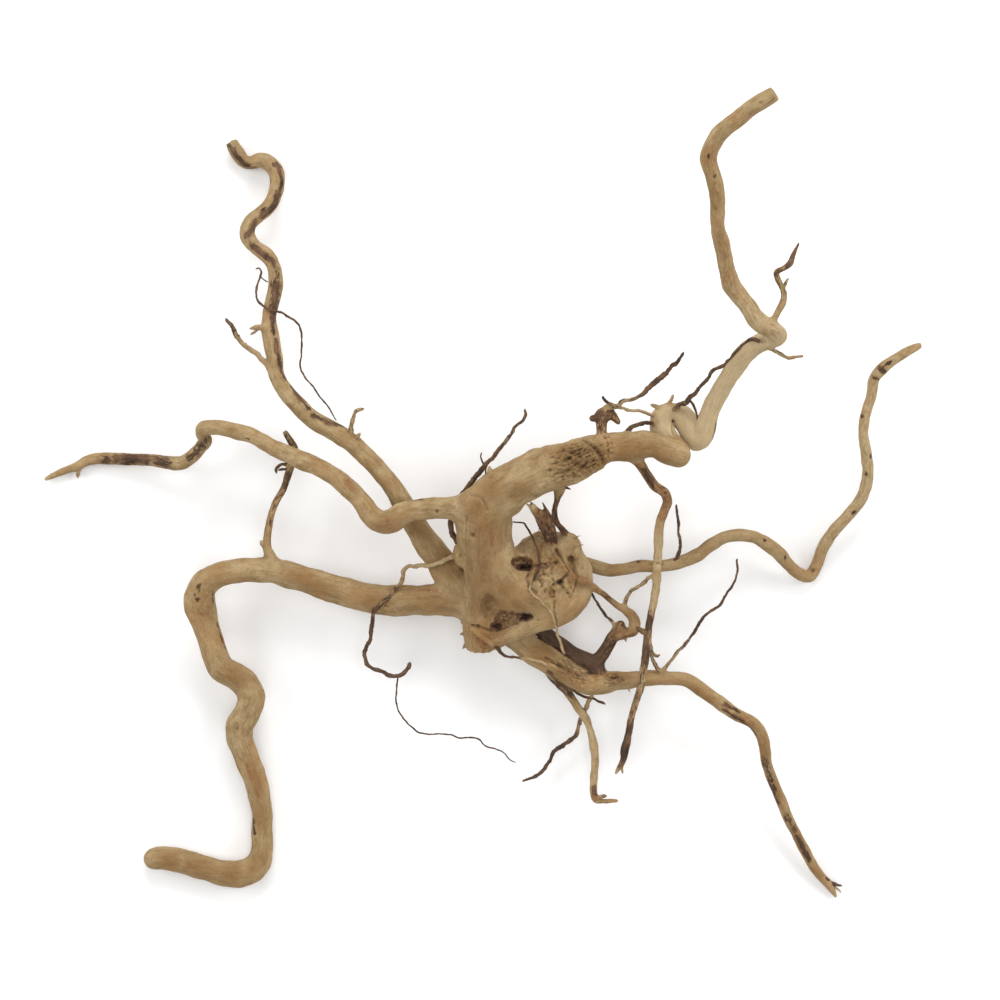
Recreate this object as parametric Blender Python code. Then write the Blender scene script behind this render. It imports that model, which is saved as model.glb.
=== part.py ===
"""Branchwood: one sand-blasted root with a knotted hub, six long crooked arms and many twigs.

It lies on a table and is looked at from straight above. +X is right, +Y is up the picture and +Z is
up from the table. Every limb is a tube along a route of (x, y, height, radius) points in millimetres.
"""

import math

import bmesh
import bpy
from mathutils import Matrix, Vector

MM = 0.001

# The routes' x and y are full size at PICTURE_HEIGHT and shrink towards the eye straight above.
EYE_HEIGHT = 1440.0
PICTURE_HEIGHT = 50.0

# Where the middle of the picture lies from the middle of the wood's box, and the table's own height.
PICTURE_X = 11.6
PICTURE_Y = 5.5
TABLE_HEIGHT = -0.2

# A tube gets a ring at each longest step, in millimetres, or sooner where it has turned far enough.
LONGEST_STEP = 5.5
LONGEST_STEP_PER_RADIUS = 0.8
SHORTEST_STEP = 1.2
SHORTEST_STEP_PER_RADIUS = 0.4
RING_TURN = math.radians(24)

# A ring's corners stand out a little, so that its sides lie on the limb's round surface on average.
CORNERS_OUT = 1.035

# How finely a curve is walked when its rings are placed.
WALK_STEPS = 12

# Tubes above the first radius have the most sides, and those below the second the fewest.
THICK_LIMB_RADIUS = 5.0
THIN_TWIG_RADIUS = 1.6
THICK_SIDES_RESOLUTION = 3
MIDDLE_SIDES_RESOLUTION = 2
THIN_SIDES_RESOLUTION = 1

# How a blunt end is rounded: angles along a quarter circle, in degrees.
BLUNT_ANGLES = (35, 62, 82)

# The hub's masses with a half size over the first value are faceted finely, and the rest coarsely.
LARGE_MASS = 12.0
LARGE_MASS_SUBDIVISIONS = 3
SMALL_MASS_SUBDIVISIONS = 2

# Two corners this near are one, in metres.
MERGE_DISTANCE = 1e-6

WOOD_COLOUR = (0.52, 0.37, 0.21, 1.0)
WOOD_ROUGHNESS = 0.75

# The thick pale arm that runs left from the hub, turns down and ends in a blunt foot on the table.
LOWER_LEFT_ARM = [
    (-15, -51.5, 28, 8.5),
    (-30, -50, 25, 8),
    (-60, -50, 22.5, 7.5),
    (-75, -46.5, 22.5, 7),
    (-90, -42, 24, 6.8),
    (-105, -37.5, 25.5, 6.5),
    (-118, -35, 26.5, 6.2),
    (-133, -35.5, 26, 6),
    (-143, -38.5, 24.5, 6.6),
    (-149, -44, 22.8, 7.3),
    (-150.5, -52, 21, 7.8),
    (-148, -61, 20, 6.9),
    (-145, -69, 19, 6.5),
    (-142.5, -77, 18, 6.6),
    (-139, -84, 17.3, 7),
    (-132, -88, 16.5, 6.8),
    (-126.5, -92.5, 15.5, 6.7),
    (-124, -99, 14.3, 6.9),
    (-126.5, -106, 13.2, 6.9),
    (-130, -113, 12, 6.9),
    (-130, -120, 11, 6.6),
    (-127.5, -127, 10, 6.3),
    (-122.5, -140, 8.4, 5.8),
    (-119.5, -152.5, 7.2, 5.4),
    (-119, -165, 6.6, 5.3),
    (-119, -175, 6.4, 5.6),
    (-121.5, -182.5, 6.6, 6.2),
    (-128, -186.5, 6.8, 6.6),
    (-137, -186.5, 6.7, 6.5),
    (-147.5, -184, 6.4, 6.1),
    (-158, -180.5, 6.6, 6.2),
    (-167, -179, 7, 5.8),
    (-173, -179.5, 7.3, 5),
]

# The forked twig that stands on the lower-left arm and passes under the middle-left arm.
UPRIGHT_TWIG = [
    (-113.5, -34, 27, 4.5),
    (-115, -28.5, 29, 3),
    (-116.5, -22, 30.5, 2.2),
    (-115.5, -12.5, 31, 1.7),
    (-112.5, -2, 30, 1.75),
    (-108, 6, 28.5, 1.75),
    (-105.5, 14, 27.5, 2),
    (-103, 21, 27, 2),
    (-102.7, 25.5, 27.3, 1.9),
    (-104.5, 29, 28, 1.7),
    (-106.3, 32, 28.6, 1.5),
    (-107.7, 34.3, 29, 1.2),
]
UPRIGHT_TWIG_STUB = [(-115, -27.5, 29, 1.8), (-117.5, -23.5, 30.2, 1.5), (-119.5, -20.5, 31, 1.2)]
UPRIGHT_TWIG_CURL = [
    (-105, 16.5, 27.5, 1.1),
    (-107, 17.7, 28, 0.95),
    (-109.5, 17.6, 28.3, 0.9),
    (-111.5, 15.8, 28.2, 0.9),
    (-112, 13.5, 28, 0.7),
]

# The long arm that climbs to the upper left and ends in a hooked, broken tip on the table.
UPPER_LEFT_ARM = [
    (-19, -45, 28, 8),
    (-25, -37.5, 28, 8),
    (-31.5, -28, 28, 7.2),
    (-42.5, -12, 28.5, 5.9),
    (-52.5, 5, 30.5, 4.9),
    (-60, 14.5, 32.5, 4.6),
    (-67.5, 22, 34.5, 4.6),
    (-75, 29, 36.5, 4.7),
    (-85, 35.5, 38.5, 4.7),
    (-95, 41.5, 39.5, 4.5),
    (-101.5, 48, 39.5, 4.4),
    (-107.5, 55, 39, 4.1),
    (-111.5, 63, 37.5, 4),
    (-113, 72.5, 36, 4.1),
    (-115, 84, 34, 4.2),
    (-115.3, 91, 32, 3.5),
    (-113.5, 100, 29, 3.7),
    (-112, 110, 25.5, 3.7),
    (-113.5, 118, 22.5, 3.6),
    (-117.5, 123, 20.5, 3.6),
    (-123, 127, 18.5, 3.7),
    (-126.5, 132.5, 16.5, 3.8),
    (-125, 138.5, 14.5, 3.8),
    (-119, 143.5, 13, 3.7),
    (-114, 149, 11.5, 3.7),
    (-111.5, 156, 10, 3.7),
    (-111.5, 162.5, 8.6, 3.9),
    (-115, 168, 7.2, 4),
    (-120, 170, 5.8, 3.8),
    (-124.5, 168.7, 4.4, 3.5),
    (-128, 169.5, 3.7, 3.4),
    (-131.2, 173.5, 4.6, 3.5),
    (-134.5, 179, 6.4, 3.2),
]
UPPER_LEFT_SIDE_TWIG = [
    (-115, 66, 36.5, 1.7),
    (-120.5, 72, 38, 1.3),
    (-127.5, 77, 39.5, 1.3),
    (-132, 82.5, 41, 1.25),
    (-134.5, 87.5, 42, 1.1),
    (-137, 90.5, 43, 0.7),
]
UPPER_LEFT_FRAYED_STUB = [(-117, 86, 34.5, 1.5), (-121, 86.3, 35.5, 1.3), (-125.5, 85.3, 36.3, 0.7)]
UPPER_LEFT_HOOK = [
    (-75, 32, 39, 1.8),
    (-74.2, 37, 42, 1.3),
    (-73.3, 41.5, 44, 1),
    (-71.5, 44.5, 45, 0.9),
    (-68, 46, 46, 0.8),
]

# The arm that leaves the hub over the upper-left arm, rolls over a bend and drops to the far left.
MIDDLE_LEFT_ARM = [
    (-5, -2.5, 54, 7.5),
    (-15, -3, 53, 6.5),
    (-22.5, -4, 51.5, 5.8),
    (-37.5, -4.5, 49, 5.2),
    (-47.5, -6.5, 47, 5.7),
    (-53.5, -10, 45.5, 5.9),
    (-59.5, -11, 44, 5.8),
    (-65, -7, 43, 5.3),
    (-70, 0, 42, 4.8),
    (-80, 9.5, 40.5, 4.4),
    (-91, 16.3, 39.5, 4.4),
    (-102, 21, 38.5, 4.6),
    (-114, 26.5, 37.5, 4.2),
    (-124, 32, 36.5, 4),
    (-135, 35, 35, 3.9),
    (-143, 36.3, 32.8, 3.8),
    (-148.3, 35.7, 29.5, 3.7),
    (-148.5, 33, 25.5, 3.5),
    (-147, 29.8, 21.5, 3.3),
    (-149.5, 26.5, 17.5, 3.3),
    (-153.7, 22, 14.5, 3.4),
    (-158, 18.9, 12.5, 3.4),
    (-164, 18.4, 10.8, 3.4),
    (-174, 20, 8.5, 3.1),
    (-185, 20.3, 6.3, 3),
    (-198, 20.7, 4, 3.1),
    (-205, 20, 3.4, 2.8),
    (-212, 16.7, 3, 2.2),
    (-219, 14, 2.7, 1.5),
    (-227, 10.5, 2.4, 0.8),
]
MIDDLE_LEFT_SPUR = [(-210.5, 17, 3.2, 1.4), (-210.8, 14, 3, 1.1), (-211, 11, 3, 0.7)]

# The hub's upright column, from inside the arch down to its torn lower end.
COLUMN = [
    (4, 5.5, 59.5, 9),
    (-1.5, 1.5, 57.5, 11),
    (-6, -4, 54, 12.8),
    (-8, -12, 49.5, 13.9),
    (-7.2, -24, 45, 12.3),
    (-7, -37.5, 39.5, 11.2),
    (-8, -50, 35, 10),
    (-9.3, -61, 31.5, 9),
    (-9.8, -70, 29, 8.2),
    (-10, -74, 27.7, 7.8),
]

# The heavy arch over the hub, which runs right and ends in a rounded elbow.
ARCH = [
    (-14, -3.5, 54, 6.8),
    (-5, 1.5, 57, 9),
    (4, 6.5, 61.5, 10.3),
    (19.5, 14.5, 66, 11.7),
    (34, 18.5, 67.5, 10.8),
    (44, 22.5, 67, 9),
    (52.5, 26, 66, 7.4),
    (62.5, 26.5, 65, 7.3),
    (72.5, 27.5, 64.5, 6.9),
    (78, 27.2, 64, 6.2),
    (83.5, 24.8, 63.5, 6.9),
    (88.5, 23.2, 62.7, 7.1),
]

# Behind the elbow the limb doubles back in a tight hairpin.
HAIRPIN = [
    (88, 23.5, 61, 5.5),
    (87, 26, 56, 6),
    (83, 31, 52, 6),
    (80.6, 37.5, 49.5, 6.1),
    (82, 42.3, 48.5, 5.6),
    (86.5, 43.3, 48.5, 5),
    (91, 41.5, 49, 5.8),
    (95, 36.5, 50.5, 6.4),
    (98.7, 30.8, 52.5, 6.2),
    (102.3, 34.3, 55.5, 5.2),
    (104, 41, 58.5, 4.5),
]

# The pale limb that rises from the hairpin to a knob and on to a sawn end, the highest point.
UPPER_RIGHT_LIMB = [
    (102.5, 37, 56.5, 4.6),
    (104.5, 43, 59.5, 4.4),
    (108.7, 52, 64, 4.7),
    (115.5, 63.2, 71, 4.6),
    (122.5, 73, 77, 5.1),
    (130, 78.5, 82, 5),
    (135.5, 80.5, 87, 5),
    (138.5, 82.5, 92, 5.1),
    (136.3, 85, 97, 5),
    (131.2, 87.7, 100, 4.9),
    (126.8, 92, 101.5, 4.7),
    (123.5, 97.5, 102.5, 4.4),
    (119, 103, 104, 4.5),
    (115.5, 108, 105.5, 4.6),
    (113.5, 116, 108, 4.2),
    (110.9, 128.5, 112, 4),
    (109, 136, 114, 3.7),
    (108.7, 150, 118, 3.9),
    (107, 161, 121, 4.1),
    (104.2, 169.5, 123.5, 4.2),
    (105.9, 177, 125.5, 4.3),
    (110.6, 184, 127.5, 4.3),
    (119.5, 191.2, 130, 4.5),
    (127, 197, 132, 4.3),
    (137.5, 203.5, 135, 4),
]
KNOB_TWIG = [
    (134, 86, 97.5, 2),
    (137, 90.5, 99, 1.8),
    (139.5, 95, 100, 1.75),
    (141.5, 99, 101, 1.8),
    (142, 103, 102, 1.7),
    (140.7, 107, 103, 1.65),
    (138.7, 111, 104, 1.6),
    (138.3, 114, 105, 1.5),
    (141.5, 115.8, 106, 1.5),
    (145, 118.5, 107.3, 1.6),
    (147, 123.5, 109, 1.2),
    (149.5, 128.5, 111, 0.6),
]

# The thin dark vine that starts past the knob, crosses the limb and ends on the hairpin.
HAIRPIN_VINE = [
    (151.5, 72, 86, 0.75),
    (145, 71.3, 87, 0.85),
    (139, 73.5, 87.8, 0.85),
    (133, 75.8, 87.7, 0.9),
    (128.5, 78.3, 86.3, 0.9),
    (124, 79, 81.5, 0.9),
    (120, 76.5, 77.5, 0.9),
    (117, 72.5, 75, 0.9),
    (112.5, 68, 72.5, 0.95),
    (107.5, 65, 71, 0.95),
    (104.5, 61.5, 69, 1),
    (100.7, 57.5, 66.5, 1),
    (97, 52.9, 63.5, 1.1),
    (94, 50, 60, 1.25),
    (89.5, 47.3, 55, 1.2),
    (86, 45, 50, 1.2),
]
HAIRPIN_STUB = [(83, 45, 49.5, 1.1), (85.5, 50.5, 50.5, 0.9), (86.5, 53, 51, 0.65)]
HAIRPIN_LEDGE = [(81, 44.5, 50.5, 1.5), (78, 47, 51.5, 1.2), (75.2, 48, 52, 1)]

# The swollen stub on the arch, and the two thin twigs that leave it.
STUB_TOWER = [
    (51.5, 26, 67, 3.6),
    (50.7, 33, 69, 2.6),
    (50.6, 39, 69.5, 2.4),
    (50.8, 43.4, 70, 2.7),
    (55, 45.2, 70.2, 2.1),
]
STUB_TOWER_LEFT_LUMP = [(50, 41, 69.5, 2), (46.2, 40.8, 69, 1.7)]
STUB_TOWER_RIGHT_LUMP = [(51, 44, 70, 2), (56, 44, 70, 2.2), (58.3, 40.2, 70, 1.6)]
LONG_UPPER_TWIG = [
    (54, 46.5, 70.2, 1.7),
    (59, 47.2, 70.5, 1.3),
    (61.5, 49.7, 71, 1.15),
    (65.5, 50.2, 71.5, 1.05),
    (70, 52.2, 72.5, 1.1),
    (73.5, 55.5, 73.5, 1.2),
    (77.5, 59, 75, 1.3),
    (80, 60.7, 76, 1.5),
    (84, 64.5, 77.5, 1.2),
    (87.5, 68, 79, 1.1),
    (90, 70.8, 80, 0.95),
    (91.8, 74, 81, 0.6),
]
CROSSING_TWIG = [
    (77, 42.5, 52, 1),
    (74, 43, 56, 0.85),
    (70, 44.5, 61, 0.8),
    (65, 44.7, 66, 0.8),
    (59.8, 46.5, 71, 0.85),
    (54.5, 48.6, 73.3, 0.85),
    (51, 52.2, 75, 0.7),
]
DARK_ARCH_TWIG = [(61.5, 31, 65, 1.3), (64.7, 35.2, 64.5, 1.15), (70, 37.8, 61, 1.1), (77, 38.5, 54, 1.1)]

# The long twig that hangs from the arch in front of both right arms.
HANGING_TWIG = [
    (66, 23, 64, 3.3),
    (70, 18, 62, 2.8),
    (73.5, 12.5, 61.5, 2.5),
    (77.5, 7, 60, 2.6),
    (82, 3.7, 57, 2.6),
    (83.7, -0.5, 54.5, 2.5),
    (81.7, -6.5, 52, 2.4),
    (79.5, -14, 50, 2.35),
    (79.3, -23, 47.5, 2.4),
    (78.8, -31.5, 45.5, 2.1),
    (78, -43.5, 43.5, 2.2),
    (76, -55, 42.5, 2),
    (74, -66.5, 42, 1.8),
    (72.8, -78, 41.5, 2),
    (71.5, -87, 40.5, 2),
    (70, -95, 38.5, 1.9),
    (66, -107.5, 34, 1.75),
    (64.5, -116, 31, 1.8),
    (62.5, -124, 28.5, 2.1),
    (61.5, -130, 26.5, 1.7),
    (58, -136.5, 24, 0.9),
]

# The slim arm that leaves the back of the knot to the right, touches the table and rises again.
RIGHT_ARM = [
    (32.5, -30, 24, 3.8),
    (41.5, -31.5, 23.5, 3.5),
    (53, -35, 24, 3.3),
    (60.5, -34.8, 25, 3),
    (70, -33, 26, 3.1),
    (79.5, -33, 27, 3.1),
    (89, -31.5, 27.5, 3.2),
    (98, -28, 27.5, 3.4),
    (106.5, -22, 26.5, 3.2),
    (112.5, -18.7, 25.5, 3),
    (120, -17.5, 24, 3.1),
    (126.5, -18.5, 22, 3.1),
    (132.5, -21.5, 19.5, 3.4),
    (139, -26.5, 15.7, 3.4),
    (144, -32, 11.5, 3.1),
    (149.5, -36.8, 7, 3.1),
    (154.8, -38, 3.9, 3.1),
    (158, -33, 3.7, 3.1),
    (161.3, -24.5, 5.7, 3.1),
    (166.5, -16.2, 9, 2.9),
    (173, -9, 12.5, 2.9),
    (179, -2, 15.5, 3),
    (182.5, 5, 18.5, 3),
    (184, 14, 22, 2.9),
    (183, 24, 25.5, 2.8),
    (181.5, 33, 28.5, 2.7),
    (182.5, 42, 31.5, 2.7),
    (185.5, 51.5, 34.5, 2.7),
    (187, 60.5, 37, 2.7),
    (191.5, 66, 39, 2.9),
    (198.7, 71.2, 41, 2.6),
    (206, 75.5, 43, 2.2),
    (210.3, 77.5, 44, 1.6),
]
RIGHT_ARM_TWIG = [
    (85, -32, 28, 1.3),
    (88.7, -28.7, 31, 0.95),
    (90, -22, 33, 0.85),
    (89.5, -14.5, 35, 0.75),
    (88.5, -5.5, 37, 0.7),
    (88, -2.2, 38, 0.6),
]

# The arm that leaves the hub's lower end to the right and comes down to a frayed tip on the table.
LOWER_RIGHT_ARM = [
    (0, -64, 27, 6),
    (7.5, -69, 26.5, 5.7),
    (15, -74.6, 26, 6.6),
    (24, -80.5, 26, 6.5),
    (32.5, -85.5, 26.5, 5.8),
    (42.5, -91, 27.5, 5.8),
    (51.5, -91.3, 28.5, 5.6),
    (58, -90.2, 29.3, 4.9),
    (65, -90, 30, 4.5),
    (75, -89, 30.5, 3.9),
    (84, -89, 30.5, 3.6),
    (92.5, -89.7, 30.5, 3.6),
    (98.5, -93.3, 30, 3.5),
    (104.5, -97.5, 29.5, 3.5),
    (111.5, -102.5, 28.5, 3.5),
    (116.5, -106.3, 27.5, 3.2),
    (121.5, -108.7, 26.5, 3.1),
    (127, -112, 25, 3.2),
    (131, -118, 23, 3.1),
    (132.5, -125, 21, 2.8),
    (133.3, -132, 19, 2.7),
    (136.3, -140.5, 16.5, 2.7),
    (140.5, -150, 14, 2.7),
    (144, -158.5, 11.5, 2.6),
    (148.5, -167.5, 9, 2.6),
    (152.5, -175, 7, 2.6),
    (157, -183.5, 5, 2.5),
    (161.2, -189, 3.7, 2.3),
    (164.5, -192.5, 2.8, 2.2),
    (167.7, -198, 1.8, 0.9),
]

# The dark root beside the lower-right arm, and the branch that climbs from it to a knob.
DARK_ROOT = [
    (17.5, -62.5, 24, 3.5),
    (25, -68.5, 24, 3.7),
    (37.5, -77.5, 24.5, 4),
    (46, -82, 26.5, 4.2),
    (50, -88, 28.5, 4.2),
]
DARK_ROOT_BRANCH = [
    (47, -83, 27, 3.9),
    (53, -74.7, 29.5, 3.3),
    (56, -69.3, 31.5, 3),
    (58.5, -65.3, 33, 3),
    (60.2, -62.8, 34.2, 2.8),
]

# The thin limb that leaves the knot and joins the knob, closing a small loop.
LOOP_LIMB = [
    (35, -37, 36, 2.4),
    (40.5, -40, 36, 2.1),
    (46, -43, 35.5, 1.75),
    (52, -47.2, 34.5, 1.5),
    (57.5, -52, 34, 1.65),
    (62.5, -55.2, 34, 2.1),
    (66, -58, 34.5, 2.7),
    (67.3, -61.5, 34.8, 2.9),
    (66.5, -65.5, 34.5, 2.7),
    (63.5, -66.5, 34, 2.7),
    (59.5, -67, 33.5, 3),
]
LOOP_LIMB_LINK = [(66.5, -62.5, 35, 1.6), (70, -64.8, 38, 1.3), (74, -67.5, 41.5, 1.3)]
LOOP_LIMB_TWIG = [
    (62, -53.5, 34, 1.3),
    (63.5, -48.5, 36, 1.05),
    (65.3, -45, 37.3, 1),
    (70, -43, 39.5, 1),
    (74, -39.5, 42, 1),
    (78, -36.5, 44.5, 1),
]
BLACK_THREAD = [
    (42, -41, 33.5, 0.8),
    (45.6, -46.2, 32.6, 0.7),
    (49.4, -53, 32, 0.65),
    (53.2, -58, 32.2, 0.7),
    (57.5, -62.5, 33, 0.85),
]

# Small twigs between the hanging twig and the lower-right arm.
ARM_LINK_TWIG = [
    (74, -70, 41.5, 1.2),
    (76, -76, 39.5, 1.05),
    (76.9, -81, 37, 1.05),
    (79.3, -84.7, 34.5, 1.15),
    (82, -86.5, 32.5, 1.3),
]
LONG_RIGHT_TWIG = [
    (81, -86, 32.5, 1.2),
    (85, -80.5, 35, 0.95),
    (91.2, -73.5, 38, 0.85),
    (96, -67.5, 40, 0.8),
    (99.5, -62, 41.5, 0.8),
    (103.5, -57.5, 43, 0.75),
    (109.5, -52.7, 45, 0.7),
    (113.5, -46.5, 46.5, 0.65),
    (116.5, -42.7, 47, 0.6),
    (118.8, -36, 48, 0.6),
    (118.5, -29, 49, 0.5),
]

# The two twigs that hang below the hub, the first with a forked foot.
LOWER_TWIG = [
    (22.5, -81, 24, 2.6),
    (25.5, -87, 22.5, 2.4),
    (30, -91.5, 21.5, 2.5),
    (34.5, -97, 21, 2.2),
    (39, -104, 20, 2),
    (43, -109.5, 19.5, 2),
    (45.5, -116.5, 19, 2),
    (47, -124, 18.5, 2.1),
    (47.5, -130.5, 18, 2),
    (47, -137, 17, 2),
    (46.8, -143.5, 16, 1.9),
    (46.9, -148.3, 15, 1.8),
    (48.7, -150.6, 14.5, 1.5),
    (52, -150.6, 14.5, 1.25),
    (55.5, -150.5, 14.5, 1.2),
    (58.3, -150.5, 14.5, 0.9),
]
LOWER_TWIG_TOE = [(47.5, -148.5, 15.3, 1.1), (50.5, -148.4, 16.3, 0.9), (53.7, -148, 17.3, 0.8)]
CROSSING_LOWER_TWIG = [
    (47, -93.5, 26, 1.4),
    (45, -99.5, 22, 1.2),
    (43, -104, 18.5, 1.15),
    (41, -107.5, 16, 1.15),
    (39.5, -112, 14.5, 1.15),
    (38, -117, 13.5, 1.1),
    (33.5, -121, 12.5, 1.1),
    (27.5, -125.7, 11.5, 1.05),
    (24, -131, 10.5, 1),
    (22, -134.5, 10, 1),
    (18, -137.7, 9, 0.9),
    (11.5, -140.5, 8, 0.6),
]
DARK_SIDE_TWIG = [
    (30.5, -90, 22, 0.9),
    (34.5, -93, 23.3, 0.75),
    (37.5, -96, 24, 0.7),
    (41, -98, 23.5, 0.7),
    (45, -99, 23, 0.7),
    (49, -100.5, 24, 0.7),
    (53, -102.5, 25, 0.6),
]

# The thin twig that runs from the hub's left over the lower-left arm and curls up at its end.
LEFT_VINE = [
    (-19, -26.5, 38, 1.5),
    (-29.5, -31, 36.8, 1.25),
    (-35, -32.6, 35.3, 1.15),
    (-41, -33, 34, 1.15),
    (-45.3, -33.2, 33, 1.1),
    (-48, -35.7, 32, 1.1),
    (-49, -39, 31.5, 1.1),
    (-51, -43, 31, 1.1),
    (-55, -48.5, 30.4, 1.1),
    (-60, -52.5, 30, 1.1),
    (-63.3, -56, 28.5, 1.1),
    (-63.2, -60.5, 26.5, 1.1),
    (-65, -69, 24, 1.05),
    (-67.3, -76.5, 22.5, 1.05),
    (-67, -81, 22, 1.05),
    (-64, -84, 21.5, 1.1),
    (-58, -86, 21.5, 1.05),
    (-54.5, -88, 21.5, 1.1),
    (-50, -87.5, 22, 1.1),
    (-46.7, -84.7, 23, 1.1),
    (-45.5, -81, 24, 1.2),
]

# The dark twig that passes behind the root of the middle-left arm and rises beside the arch.
LONG_DARK_TWIG = [
    (-18, -25, 37, 1.5),
    (-23, -17.5, 40, 1.4),
    (-25, -10, 42, 1.4),
    (-23, -3, 43.5, 1.35),
    (-18.8, 2.8, 47, 1.35),
    (-13.8, 9, 51, 1.4),
    (-8, 17, 57.5, 1.3),
    (-3, 21.7, 61.5, 1.15),
    (2.5, 28.5, 65, 1),
    (4.7, 32, 67, 0.95),
    (7, 36, 69, 0.9),
    (12, 40.7, 73, 0.85),
    (12.5, 45.5, 76, 0.6),
]

# The frayed red-brown stub on the knot, and the dark twig that joins the knot to the arch.
FRAYED_STUB = [
    (26.5, -24, 44, 4.3),
    (25, -18.5, 47, 4),
    (22.8, -11.5, 51, 3.9),
    (19.5, -6, 54.5, 3.2),
    (16.7, -2.5, 56.5, 2.3),
]
ARCH_LINK_TWIG = [
    (30, -20, 43, 2.2),
    (28, -12, 47.5, 1.9),
    (26.7, -5, 51, 1.8),
    (27.6, 2, 56, 2),
    (30, 10, 62, 2.6),
]

# The band that crosses the hub's lower right in front of the lower-right arm's root.
LOWER_BAND = [
    (-4, -71, 32, 4.2),
    (2, -69.3, 34.5, 4),
    (12, -64.7, 38, 4.2),
    (24, -60.5, 40, 4.4),
    (33, -55, 38.5, 4.7),
]

TAPERED_TUBES = {
    "lower_left_arm": LOWER_LEFT_ARM,
    "upright_twig": UPRIGHT_TWIG,
    "upright_twig_stub": UPRIGHT_TWIG_STUB,
    "upright_twig_curl": UPRIGHT_TWIG_CURL,
    "upper_left_arm": UPPER_LEFT_ARM,
    "upper_left_side_twig": UPPER_LEFT_SIDE_TWIG,
    "upper_left_frayed_stub": UPPER_LEFT_FRAYED_STUB,
    "upper_left_hook": UPPER_LEFT_HOOK,
    "middle_left_arm": MIDDLE_LEFT_ARM,
    "middle_left_spur": MIDDLE_LEFT_SPUR,
    "arch": ARCH,
    "hairpin": HAIRPIN,
    "upper_right_limb": UPPER_RIGHT_LIMB,
    "knob_twig": KNOB_TWIG,
    "hairpin_vine": HAIRPIN_VINE,
    "hairpin_stub": HAIRPIN_STUB,
    "hairpin_ledge": HAIRPIN_LEDGE,
    "stub_tower": STUB_TOWER,
    "stub_tower_left_lump": STUB_TOWER_LEFT_LUMP,
    "stub_tower_right_lump": STUB_TOWER_RIGHT_LUMP,
    "long_upper_twig": LONG_UPPER_TWIG,
    "crossing_twig": CROSSING_TWIG,
    "dark_arch_twig": DARK_ARCH_TWIG,
    "hanging_twig": HANGING_TWIG,
    "right_arm": RIGHT_ARM,
    "right_arm_twig": RIGHT_ARM_TWIG,
    "lower_right_arm": LOWER_RIGHT_ARM,
    "dark_root": DARK_ROOT,
    "dark_root_branch": DARK_ROOT_BRANCH,
    "loop_limb": LOOP_LIMB,
    "loop_limb_link": LOOP_LIMB_LINK,
    "loop_limb_twig": LOOP_LIMB_TWIG,
    "black_thread": BLACK_THREAD,
    "arm_link_twig": ARM_LINK_TWIG,
    "long_right_twig": LONG_RIGHT_TWIG,
    "lower_twig": LOWER_TWIG,
    "lower_twig_toe": LOWER_TWIG_TOE,
    "crossing_lower_twig": CROSSING_LOWER_TWIG,
    "dark_side_twig": DARK_SIDE_TWIG,
    "left_vine": LEFT_VINE,
    "long_dark_twig": LONG_DARK_TWIG,
    "frayed_stub": FRAYED_STUB,
    "arch_link_twig": ARCH_LINK_TWIG,
    "lower_band": LOWER_BAND,
}
BLUNT_TUBES = ("lower_left_arm", "arch")

# The swollen masses of the hub, as (x, y, height) of the middle and (x, y, height) half sizes.
HUB_MASSES = {
    "knot": ((24, -39, 33), (21, 23.5, 17)),
    "knot_lip": ((31, -49, 34), (13, 10.5, 14)),
    "web": ((5, -46, 36), (15, 13, 13)),
    "knot_shoulder": ((9, -31, 36), (8, 7.5, 11)),
    "knot_crown": ((33, -24, 36), (8, 8, 10)),
    "left_crotch": ((-19, -27, 38), (4.5, 7, 8)),
    "inner_corner": ((5.5, -1, 56), (5.5, 5.5, 6)),
    "back_of_hub": ((-8, -48, 28), (13, 20, 9)),
    "floor_of_hub": ((9, -60, 28), (13, 9, 8)),
}

# The hollows in the hub's front, cut with masses of the same kind.
HUB_HOLLOWS = {
    "upper_hollow": ((12.5, -32, 51), (7, 3.6, 8)),
    "lower_hollow": ((7.5, -59.5, 47), (10.5, 5, 9)),
}


def place(x, y, height):
    """A route's point on the table's own frame, in metres."""
    share = (EYE_HEIGHT - height) / (EYE_HEIGHT - PICTURE_HEIGHT)
    return Vector((x * share + PICTURE_X, y * share + PICTURE_Y, height - TABLE_HEIGHT)) * MM


def placed_radius(radius, height):
    """A route's radius at that height, in metres."""
    return radius * MM * (EYE_HEIGHT - height) / (EYE_HEIGHT - PICTURE_HEIGHT)


def between(before, start, end, after, share):
    """The Catmull-Rom curve's point, share of the way from start to end."""
    square = share * share
    cube = square * share
    return 0.5 * (
        2 * start
        + (end - before) * share
        + (2 * before - 5 * start + 4 * end - after) * square
        + (3 * start - before - 3 * end + after) * cube
    )


def ring_is_due(walked, turned, radius):
    if walked >= LONGEST_STEP + LONGEST_STEP_PER_RADIUS * radius:
        return True
    return turned >= RING_TURN and walked >= SHORTEST_STEP + SHORTEST_STEP_PER_RADIUS * radius


def smooth_rings(route):
    """(place, radius) of each ring along a smooth curve through the route's points."""
    knots = [(place(x, y, height), placed_radius(radius, height)) for x, y, height, radius in route]
    places = [knot[0] for knot in knots]
    radii = [knot[1] for knot in knots]
    places = [2 * places[0] - places[1]] + places + [2 * places[-1] - places[-2]]
    rings = [(places[1], radii[0])]
    walked = turned = 0.0
    last = places[1]
    heading = places[2] - places[1]
    for index in range(1, len(knots)):
        for step in range(1, WALK_STEPS + 1):
            share = step / WALK_STEPS
            spot = between(*places[index - 1 : index + 3], share)
            radius = radii[index - 1] + (radii[index] - radii[index - 1]) * share
            walked += (spot - last).length
            turned += heading.angle(spot - last)
            heading = spot - last
            last = spot
            if ring_is_due(walked / MM, turned, radius / MM):
                rings.append((spot, radius))
                walked = turned = 0.0
    if walked < SHORTEST_STEP * MM:
        rings.pop()
    return rings + [(places[-2], radii[-1])]


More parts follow.
